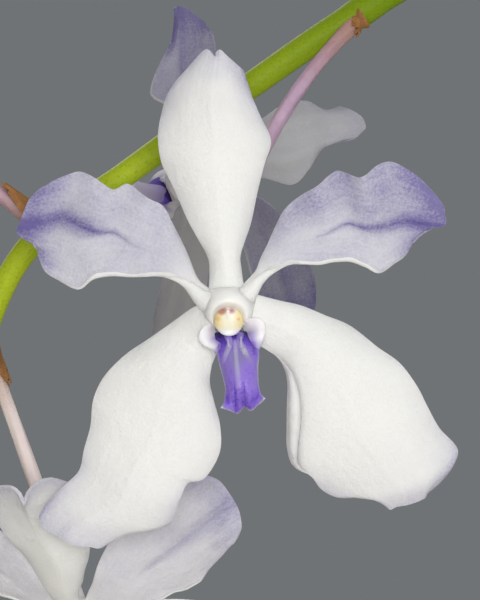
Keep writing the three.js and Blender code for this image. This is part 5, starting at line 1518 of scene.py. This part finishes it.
def tepal_part(outline, kind, bloom, lean, rows, columns, seed):
    """One tepal of a bloom as finished sheets, with how violet, how streaky and how greyed by painted shade
    each point is.
    """
    own = OWN_SHAPES.get((seed // 10 + 1, seed % 10))
    outline, lean = (own, 0.0) if own else (outline, lean)
    grid, a, v = sheet_of(outline, rows, columns)
    grid = liven(grid, a, v, outline, seed)
    if "roll" in outline:
        grid, a, v = roll_forward(grid, a, v, outline)
    facing = np.cross(np.gradient(grid, axis=0), np.gradient(grid, axis=1))[..., 2].mean()
    rim = np.clip(np.abs(2 * a - 1), 0, 1)
    thick = mix(0.56, 0.2, rim**3) * mix(1, 0.5, smoothstep((v - 0.9) / 0.1)) * np.where(a < 0, 0.8, 1)
    shade = bloom.get("shade", 0.0)
    if kind == "petal":
        thick = thick + 0.2 * (1 - rim) * smoothstep(1 - v / 0.14)
        violet = mix(0.12, 0.44, smoothstep((v - 0.03) / 0.3)) + 0.42 * smoothstep((v - 0.78) / 0.22)
        # The petals are flushed lilac towards their upper margin. The right petal's stronger flush is partly
        # its own lilac and partly painted shade on its upper half.
        lilac_flush_and_shade = 0.26 if outline is RIGHT_PETAL else 0.08
        violet = violet + lilac_flush_and_shade * smoothstep((a - 0.4) / 0.4) * smoothstep(v * 2)
        violet = np.where(a < 0, mix(0.04, violet, smoothstep((v - 0.7) / 0.1)), violet)
        off = (a - vein_line(outline, v)) / mix(0.04, 0.11, smoothstep((v - 0.55) / 0.35))
        streaky = 0.85 * np.exp(-(off**2)) * smoothstep((v - 0.34) / 0.3)
        streaky = streaky + 0.3 * smoothstep((v - 0.8) / 0.15) * (rim < 0.9)
        streaky = streaky + 0.25 * np.exp(-(((v - 0.68) / 0.09) ** 2) - (((a - 0.62) / 0.12) ** 2))
        streaky = np.where(a < 0, 0, streaky)
    else:
        # On the sepals the broad tint from halfway out is partly their own lilac and partly painted shade
        # where they curve back, the stronger tint at the tip and along its margins is their own lilac, and
        # the weak tint all along the margins is painted shade where they turn away.
        violet = 0.02 + 0.1 * smoothstep((v - 0.55) / 0.35) + 0.24 * smoothstep((v - 0.85) / 0.15)
        violet = violet + 0.12 * rim**5 + 0.34 * rim**5 * smoothstep((v - 0.6) / 0.3)
        streaky = 0.12 * smoothstep((v - 0.96) / 0.04)
    # A bloom's painted shade greys all its tepals.
    petal_violet_and_shading, dull = bloom.get("petal_violet_and_shading", 1.0), np.full(violet.shape, bloom.get("dull", 0.0))
    # The petals' violet is scaled per bloom: partly their own lilac, partly painted shade on the bloom turned
    # away and painted light on the bloom below.
    petal_violet_and_shading = petal_violet_and_shading if kind == "petal" else 1.0
    # Painted shade darkens the crease beside the strip.
    if "strip" in outline:
        margin = a * np.linalg.norm(grid[:, -1] - grid[:, 0], axis=1)[:, None]
        margin = margin - np.maximum(along(np.array(outline["strip"], float), v[:, 0])[:, None], 0.02)
        shadow = 0.3 * np.exp(-((margin / 0.3) ** 2))  # the crease beside the strip
        dull = dull + shadow * smoothstep((v - 0.2) / 0.1) * smoothstep((0.68 - v) / 0.1)
    front = {"violet": violet * petal_violet_and_shading + shade, "streaky": streaky * petal_violet_and_shading**2, "dull": dull}
    # The backs gain a little violet everywhere: partly their own lilac and partly painted shade.
    behind = {"violet": violet * 0.8 * petal_violet_and_shading + 0.06 + shade, "streaky": streaky * 0.4 * petal_violet_and_shading, "dull": dull}
    placed = on_spike(bloom, lean_forward(grid, lean))
    sides = (front, behind) if facing > 0 else (behind, front)
    made = [sheet(placed, thick * bloom["size"], tepal_skin, np.stack([a, v], -1), *sides)]
    if "claw" in outline:  # the rolled margin swells into a white horn that runs into the column
        horn = along(np.array(outline["claw"], float), np.linspace(0, 1, 60))
        horn_way = on_spike(bloom, lean_forward(horn[:, :3], lean))
        marks = {"violet": 0.03 + shade, "streaky": 0.0, "dull": bloom.get("dull", 0.0)}
        marks = {k: np.full(60, value) for k, value in marks.items()}
        made.append(sweep(horn_way, horn[:, 3] * bloom["size"], tepal_skin, sides=24, **marks))
    return made


def oval(x, y, half_width, half_height, z, sides, square=2.0):
    turn = np.linspace(0, 2 * np.pi, sides, endpoint=False)
    c, s = np.cos(turn), np.sin(turn)
    power = 2 / square
    return np.stack(
        [x + half_width * np.sign(c) * np.abs(c) ** power, y + half_height * np.sign(s) * np.abs(s) ** power,
         np.full(sides, z)], 1,
    )


# %% [markdown]
# ## Column, ovary and stalk
# In an orchid, stamens and pistil have grown into one short white column. Its end holds the anther under a
# small cap, and the lip hangs below it. Behind the bloom the stalk is the ovary: a lilac bar with six slack
# ribs, twisted half a turn because the bud turned over before it opened. The column is a loft of ovals with
# a hollow end, and the stalk is a sweep with ribs and twist.

# %% Eight blooms
COLUMN = [  # x, y, half width, half height, height out of the face, how far its top leans out
    (0, 0.3, 1.1, 1.1, -2.0, 0), (0, 0.3, 1.9, 1.5, -1.2, 0), (0, 0.2, 2.3, 1.7, -0.4, 0),
    (0, 0.14, 2.3, 1.72, 0.2, 0), (0, 0.08, 2.17, 1.68, 0.7, 0), (0, -0.0, 2.05, 1.62, 1.15, 0.1),
    (0.01, -0.12, 1.91, 1.53, 1.5, 0.22), (0.02, -0.26, 1.76, 1.43, 1.8, 0.36),
    (0.03, -0.4, 1.61, 1.32, 2.0, 0.46),
    (0.04, -0.52, 1.47, 1.23, 2.1, 0.52), (0.05, -0.64, 1.35, 1.16, 2.13, 0.53),
    (0.05, -0.72, 1.28, 1.12, 2.1, 0.5),
    (0.05, -0.8, 1.22, 1.1, 2.02, 0.44), (0.05, -0.88, 1.15, 1.06, 1.9, 0.36),
    (0.05, -0.92, 0.8, 0.7, 1.8, 0.2),
]
STALK_RADIUS = [0.58, 0.62, 0.95]
TEPALS = [(DORSAL_SEPAL, "sepal"), (LEFT_SEPAL, "sepal"), (RIGHT_SEPAL, "sepal"), (LEFT_PETAL, "petal"),
          (RIGHT_PETAL, "petal")]


def bezier(a, b, c, d, t):
    t = t[:, None]
    return (1 - t) ** 3 * a + 3 * t * (1 - t) ** 2 * b + 3 * t * t * (1 - t) * c + t**3 * d


def stalk_part(bloom, seed):
    centre, run, out, radius = node_of(bloom)
    face, leave = unit(bloom["face"]), unit(bloom["leave"])
    start = centre + out * radius * 0.75
    end = np.array(bloom["centre"]) - face * 1.4 * bloom["size"]
    t = np.linspace(0, 1, 90)
    way = bezier(start, start + leave * bloom["pull"][0], end - face * bloom["pull"][1], end, t)
    girth = along(STALK_RADIUS, t) + 0.14 * np.exp(-((t / 0.04) ** 2))
    pale = np.full(90, bloom.get("pale", 0.0))
    return sweep(way, girth, stalk_skin, 24, 6, 0.045, 3.1, (2.0, 0.05), seed, pale=pale)


blooms = []
for k, bloom in enumerate(BLOOMS):
    fine = k == FRONT_BLOOM
    parts = []
    for j, (outline, kind) in enumerate(TEPALS):
        parts += tepal_part(outline, kind, bloom, bloom["lean"][j], 96 if fine else 52, 64 if fine else 28,
            10 * k + j)
    rings = []
    for x, y, w, h, z, tip in COLUMN:
        ring = oval(x, y, w, h, z, 40, 2.2)
        ring[:, 2] += tip * (ring[:, 1] - y) / h
        rings.append(on_spike(bloom, ring))
    parts.append(loft(rings, column_wax))
    parts.append(stalk_part(bloom, k * 1.7))
    name = f"bloom_{k + 1}"
    blooms.append(piece(name + "_tepals", parts, [name], smooth_under=65))
made_pieces += blooms
print("blooms:", len(blooms), "front one of", len(blooms[FRONT_BLOOM].data.polygons), "faces")

# %% [markdown]
# ## Lips, anther caps and spurs
# The lip is the landing place: a violet tongue with two keels, two small teeth at its throat, a white lobe
# on each side and a hollow spur behind. It is the most coloured part, so it has its own tissue, darkest in
# the throat, where painted shade from under the column adds to it, and on the lobed tip, with a pale stripe
# between the keels. Its keels, its margins and the very end of the tip are paler, partly as painted
# highlight. The anther cap is a waxy dome, cream with orange flanks and a purple flush on both sides of a
# pale ridge.

# %% Lip tissue and cap wax
lip_skin, add, here, lip_uv, deep, bare = new_material("violet_lip_tissue", "Object", "UVMap", "deep",
    "bare")
lip_place = add("Mapping", {"Vector": lip_uv, "Scale": (14.0, 4.0, 1.0)})
lip_veins = add("TexNoise", (lip_place, 1.0, 5.0))
lip_cells = add("TexNoise", (here, 5000.0, 2.0, 0.7))
lip_patchy = add("Math", (lip_veins, lip_cells))
deep_shift = add("MapRange", (lip_patchy, 0.12, 0.38, -0.12, 0.12))
deep_here = add("Math", (deep, deep_shift), operation="ADD")
# The darkest tint, reached mostly in the throat, is partly painted shade under the column.
LIP_TINTS = ["#cdc8e6", "#918bbe", "#9577da", "#6142bc", "#2e235f"]  # from bare margin to throat
lip_colour = from_hex(LIP_TINTS[0])
for k, tint in enumerate(LIP_TINTS[1:]):
    step = add("MapRange", (deep_here, k * 0.28, (k + 1) * 0.28))
    lip_colour = add("Mix", (step, lip_colour, from_hex(tint)))
lip_colour = add("Mix", (bare, lip_colour, "#f3f0f5"))
lip_bump = add("Bump", {"Strength": 0.35, "Distance": 0.0001, "Height": lip_cells})
finish_material(add, {"Base Color": lip_colour, "Roughness": 0.42, "IOR": 1.4, "Subsurface Weight": 0.2,
    "Subsurface Radius": (0.7, 0.5, 1.0), "Subsurface Scale": 0.0004, "Sheen Weight": 0.05,
    "Sheen Roughness": 0.4, "Normal": lip_bump})

cap_wax, add, cap_uv, cap_here = new_material("anther_cap_wax", "UVMap", "Object")
cap_noise = add("TexNoise", (cap_here, 2600.0, 3.0))
spots = add("SeparateXYZ", (cap_uv,))
off_middle = add("Math", (spots.outputs["X"], 0.5), operation="SUBTRACT")
off_middle = add("Math", (off_middle,), operation="ABSOLUTE")
off_middle = add("Math", (cap_noise, 0.06, off_middle), operation="MULTIPLY_ADD")
flank = add("MapRange", (off_middle, 0.16, 0.4))
cap_colour = add("Mix", (flank, "#fdf5da", "#f1dfa8"))
for middle, reach, strength, tint in [  # where across and up, how far, how strong, its colour
    ((0.5, 0.62), (0.2, 0.08), 0.8, "#fff8ec"), ((0.13, 0.58), (0.13, 0.02), 0.55, "#efb265"),
    ((0.82, 0.56), (0.08, 0.02), 0.5, "#e9964f"), ((0.26, 0.86), (0.2, 0.08), 0.9, "#c4826c"),
    ((0.6, 0.88), (0.16, 0.02), 0.9, "#b5698f"), ((0.36, 0.9), (0.14, 0.02), 0.6, "#b9708c"),
    ((0.47, 0.84), (0.05, 0.03), 1.0, "#fdf7f6"), ((0.47, 0.72), (0.06, 0.03), 1.0, "#fdf7f6"),
    ((0.15, 0.52), (0.02, 0.0), 0.7, "#7a4a2a"),
]:
    spot_at = add("VectorMath", (cap_uv, (*middle, 0.0)), operation="DISTANCE")
    spot_far = add("Math", (cap_noise, 0.08, spot_at.outputs["Value"]), operation="MULTIPLY_ADD")
    spot_range = add("MapRange", (spot_far, reach[0] + 0.04, reach[1] + 0.04, 0.0, strength))
    cap_colour = add("Mix", (spot_range, cap_colour, from_hex(tint)))
low = add("MapRange", (spots.outputs["Y"], 0.3, 0.12))
cap_colour = add("Mix", (low, cap_colour, "#fdfbf4"))
cap_bump = add("Bump", {"Strength": 0.25, "Distance": 0.0001, "Height": cap_noise})
finish_material(add, {"Base Color": cap_colour, "Roughness": 0.34, "IOR": 1.44, "Subsurface Weight": 0.2,
    "Subsurface Radius": (1.0, 0.8, 0.5), "Subsurface Scale": 0.0004, "Normal": cap_bump})

# %% Lips and caps in their places
SPUR_ROUTE = [(0.5, -2.55, 1.9), (0.55, -3.2, 0.2), (0.5, -3.9, -2.4), (0.4, -4.3, -5.4)]
# The white side lobes: the rim from beside the column down to the tongue, and the root line inside it.
LOBES = [
    ([(-1.3, -1.3, 2.0), (-1.75, -1.42, 2.35), (-2.15, -1.8, 2.4), (-2.2, -2.4, 2.3), (-1.9, -2.85, 2.3),
      (-1.2, -3.2, 2.6), (-0.85, -3.5, 3.0)],
     [(-1.15, -1.3, 1.0), (-1.2, -1.6, 1.0), (-1.1, -2.0, 1.1), (-0.9, -2.3, 1.3), (-0.7, -2.5, 1.6),
      (-0.55, -2.8, 2.2), (-0.5, -3.2, 2.8)]),
    ([(1.25, -1.05, 2.0), (1.7, -0.86, 2.3), (2.3, -0.8, 2.4), (2.75, -1.2, 2.4), (2.8, -1.8, 2.3),
      (2.65, -2.5, 2.4), (2.3, -3.3, 2.9)],
     [(1.15, -1.2, 1.0), (1.25, -1.4, 1.0), (1.4, -1.7, 1.1), (1.5, -2.0, 1.3), (1.5, -2.3, 1.6),
      (1.6, -2.7, 2.1), (1.8, -3.2, 2.8)]),
]
KEELS = [[(-0.04, -2.3), (0.13, -2.84), (-0.12, -3.6), (-0.3, -4.3)],
    [(0.98, -2.15), (0.86, -2.7), (1.25, -3.5), (1.65, -4.3)]]
STRIPE = [(0.52, -2.75), (0.6, -3.8), (0.73, -4.94), (0.86, -5.95)]  # the pale line between the keels


def near_line(grid, line, reach):
    """How near each point is to a line in the plane of the face, from 1 on it to 0 well beyond the reach."""
    there = route([(x, y, 0) for x, y in line], np.linspace(0, 1, 60))[:, :2]
    off = np.linalg.norm(grid[..., None, :2] - there, axis=-1).min(axis=-1)
    return np.exp(-((off / reach) ** 2))


def lip_tongue(bloom, rows, columns):
    grid, a, v = sheet_of(LIP, rows, columns)
    rim = np.abs(2 * a - 1)
    tall = smoothstep(v / 0.12) * smoothstep((0.95 - v) / 0.35)
    keels = near_line(grid, KEELS[0], 0.085) + near_line(grid, KEELS[1], 0.085)
    keels = keels * smoothstep((0.38 - v) / 0.2)
    middle = mix(0.52, 0.42, smoothstep(v / 0.8))
    stripe = near_line(grid, STRIPE, 0.1) * mix(1, 0.35, smoothstep((v - 0.2) / 0.5))
    stripe = stripe * smoothstep((0.8 - v) / 0.15)
    grooves = np.exp(-(((np.abs(a - middle) - 0.13) / 0.05) ** 2)) * smoothstep((v - 0.45) / 0.3)
    lobes = smoothstep((rim - 0.35) / 0.6) * smoothstep((v - 0.8) / 0.2)
    grid[..., 2] += 0.24 * keels + 0.08 * stripe - 0.2 * grooves - 0.4 * rim**3 * tall + 0.55 * lobes
    grid[..., 2] += 0.06 * np.sin(v * 30 + 8 * a) * rim**4
    # The throat is darkest: partly the lip's own deep violet and partly painted shade under the column.
    deep = along([1.25, 0.85, 0.46, 0.45, 0.5, 0.54, 0.6, 0.66, 0.72, 0.7, 0.42], v)
    # The keels are paler, here and in the bare mark below: partly their own pale colour and partly painted
    # highlight.
    deep = deep + 0.25 * grooves - 0.35 * keels - 0.2 * stripe
    # The margins and the very tip are paler: partly the lip's own pale rim and partly painted highlight on
    # the curled lobes.
    deep = deep - 0.45 * smoothstep((rim - 0.86) / 0.14) * (v > 0.12)
    # Painted shade on both sides of the upper tongue, under the column.
    deep = deep + 0.3 * smoothstep((rim - 0.3) / 0.5) * np.exp(-(((v - 0.2) / 0.09) ** 2))
    deep = deep - 0.3 * smoothstep((v - 0.95) / 0.05)
    marks = {"deep": deep, "bare": 0.3 * stripe * smoothstep(v / 0.1) + 0.2 * keels}
    thick = mix(0.6, 0.2, rim**3) * mix(1, 0.45, smoothstep((v - 0.88) / 0.12))
    behind = {"deep": deep * 0.7, "bare": 0 * deep}
    return sheet(on_spike(bloom, grid), thick * bloom["size"], lip_skin, np.stack([a, v], -1), marks, behind)


def lobe_part(bloom, rim, root):
    """A side lobe: a cupped flap between its rim and its root line, violet where it meets the tongue."""
    run = np.linspace(0, 1, 30)
    w = np.linspace(0, 1, 15)
    grid = mix(route(root, run)[:, None, :], route(rim, run)[:, None, :], w[None, :, None])
    grid[..., 2] += 0.35 * np.sin(np.pi * w)[None] * np.sin(np.pi * np.clip(run * 1.15, 0, 1))[:, None]
    u, w = np.meshgrid(run, w, indexing="ij")
    bare = 1 - 0.8 * smoothstep((u - 0.75) / 0.25)
    bare = np.clip(bare - 0.75 * smoothstep((0.8 - w) / 0.6) * smoothstep((u - 0.3) / 0.3), 0, 1)
    marks = {"deep": 0.2 + 0.4 * smoothstep((u - 0.4) / 0.4) * (1 - 0.7 * w**2), "bare": bare}
    thick = mix(0.4, 0.26, w) * (1 - 0.35 * w**6)
    return sheet(on_spike(bloom, grid), thick * bloom["size"], lip_skin, np.stack([u, w], -1), marks, marks)


def lip_bars(bloom):
    shares = np.linspace(0, 1, 26)
    spur = on_spike(bloom, route(SPUR_ROUTE, shares))
    girth = round_ends(mix(0.85, 0.5, shares) * bloom["size"], spur, first=False)
    parts = [sweep(spur, girth, lip_skin, sides=20, lump=(1.5, 0.08), bare=mix(0.2, 0.8, shares),
                   deep=np.full(26, 0.5))]
    parts += [lobe_part(bloom, rim, root) for rim, root in LOBES]
    for foot, tip in (((0.08, -3.1, 3.0), (-0.04, -2.36, 3.0)), ((0.98, -3.0, 3.0), (0.98, -2.2, 3.0))):
        tooth = route(on_spike(bloom, [foot, mix(np.array(foot), np.array(tip), 0.5) + [0, 0, 0.18], tip]),
                      np.linspace(0, 1, 12))
        parts.append(sweep(tooth, np.linspace(0.1, 0.04, 12), lip_skin, sides=10, bare=np.full(12, 0.25),
                           deep=np.full(12, 0.15)))
    return parts


def cap_part(bloom):
    rings, uv = [], []
    for s in np.sin(np.linspace(-np.pi / 2 * 0.98, np.pi / 2 * 0.985, 28)):
        narrow = (1 - abs(s) ** 2.5) ** (1 / 2.3)
        ring = oval(0.05, -1.0, 1.15 * narrow, 1.06 * narrow, 2.42 + s * (0.62 if s > 0 else 0.5), 40)
        local = (ring[:, :2] - [0.05, -1.0]) / [2.3, 2.12]
        x, y = local[:, 0] + 0.5, local[:, 1] + 0.5
        ridge = 0.12 * np.exp(-(((x - 0.47) / 0.06) ** 2)) * smoothstep((y - 0.45) / 0.3)
        ring[:, 2] += 0.3 * (y - 0.5) + ridge * (s > 0)
        beak = smoothstep((0.16 - y) / 0.16)
        ring[:, 1] -= 0.1 * beak * (s > -0.5)
        ring[:, 2] += 0.26 * beak * (s > 0)
        rings.append(on_spike(bloom, ring))
        uv.append(local + 0.5)
    return loft(rings, cap_wax, uv=np.array(uv))


for k, bloom in enumerate(BLOOMS):
    fine = k == FRONT_BLOOM
    name = f"bloom_{k + 1}"
    parts = [lip_tongue(bloom, 72 if fine else 36, 60 if fine else 26)] + lip_bars(bloom)
    made_pieces.append(piece(name + "_lip_tissue", parts, [name + "_lip"], smooth_under=65))
    made_pieces.append(piece(name + "_cap_wax", [cap_part(bloom)], [name + "_anther_cap"]))
print("lips and caps:", 2 * len(BLOOMS), "pieces")

# %% [markdown]
# ## Buds
# The four youngest flowers are still shut. A bud is an egg of three sepals that meet in shallow seams,
# green where it is youngest and lilac where it is about to open, on a stalk like an open bloom's. The egg
# is a loft of rings whose radius follows the bud's profile and dips at the three seams.

# %% Bud skin and the four buds
bud_skin, add, here, ripe = new_material("closed_bud_skin", "Object", "ripe")
bud_cloud = add("TexNoise", (here, 420.0, 5.0))
bud_green = add("Mix", (bud_cloud, "#9fb06a", "#c3cc9a"))
bud_lilac = add("Mix", (bud_cloud, "#a79bd0", "#d5cfe6"))
bud_colour = add("Mix", (ripe, bud_green, bud_lilac))
bud_cells = add("TexNoise", (here, 4200.0, 1.0))
bud_bump = add("Bump", {"Strength": 0.25, "Distance": 7e-05, "Height": bud_cells})
finish_material(add, {"Base Color": bud_colour, "Roughness": 0.45, "IOR": 1.42, "Subsurface Weight": 0.3,
    "Subsurface Radius": (1.0, 0.9, 0.8), "Subsurface Scale": 0.0009, "Normal": bud_bump})


def bud_parts(bud, k):
    centre, run, out, radius = node_of(bud)
    ahead = unit(bud["leave"])
    reach, length, girth = bud["stalk"], bud["length"], bud["radius"]
    start = centre + out * radius * 0.75
    end = start + ahead * (reach + length) + [0, 0, -1.5]
    t = np.linspace(0, 1, 120)
    way = bezier(start, start + ahead * reach * 0.6, end + [0, 0, 0.35 * length], end, t)
    share = reach / (reach + length)
    stem_way, bud_way = way[t <= share + 0.03], way[t >= share]
    stem_girth = mix(0.5, 0.72, np.linspace(0, 1, len(stem_way)))
    stem = sweep(stem_way, stem_girth, stalk_skin, sides=20, ribs=6, rib_depth=0.04, twist=2.0)
    inside = np.linspace(0, 1, len(bud_way))
    fat = 0.1 + (girth - 0.1) * np.sin(np.pi * np.clip(inside * 0.95 + 0.04, 0, 1)) ** 0.72
    ahead = unit(np.gradient(bud_way, axis=0))
    side = unit(np.cross(ahead, [0.3, 1, 0.2]))
    other = np.cross(ahead, side)
    turn = np.linspace(0, 2 * np.pi, 36, endpoint=False)
    seam = 1 - 0.09 * np.exp(-((((turn / (2 * np.pi) * 3) % 1 - 0.5) / 0.09) ** 2))
    chin = 0.22 * np.exp(-(((turn - 4.2) / 0.5) ** 2))
    size = fat[:, None] * (seam[None] + chin[None] * np.exp(-(((inside - 0.22) / 0.16) ** 2))[:, None])
    rings = (
        bud_way[:, None, :] + size[..., None] * np.cos(turn)[None, :, None] * side[:, None, :]
        + size[..., None] * np.sin(turn)[None, :, None] * other[:, None, :]
    )
    ripe = np.repeat((1 - 0.28 * k) - 0.45 * inside[:, None] ** 2, 36, 1)
    ripe = np.clip(ripe + 0.25 * (seam[None] < 0.96), 0, 1)
    egg = loft(rings, bud_skin, ripe=ripe)
    return [stem, egg]


for k, bud in enumerate(BUDS):
    name = f"bud_{k + 1}"
    made_pieces.append(piece(name + "_skin", bud_parts(bud, k), [name], smooth_under=60))
print("buds:", len(BUDS))

# %% [markdown]
# Two things can go wrong without being seen: a sheet wound inside out, and a piece that has outgrown the
# measured solids. The first is caught by each piece's volume, which is positive when its faces look out.
# The second is not checked here.

# %% Volumes and the end
import bmesh

for made in made_pieces:
    bm = bmesh.new()
    bm.from_mesh(made.data)
    volume = bm.calc_volume(signed=True) / MM**3
    if volume <= 0:
        print("inside out:", made.name, round(volume, 2))
    bm.free()
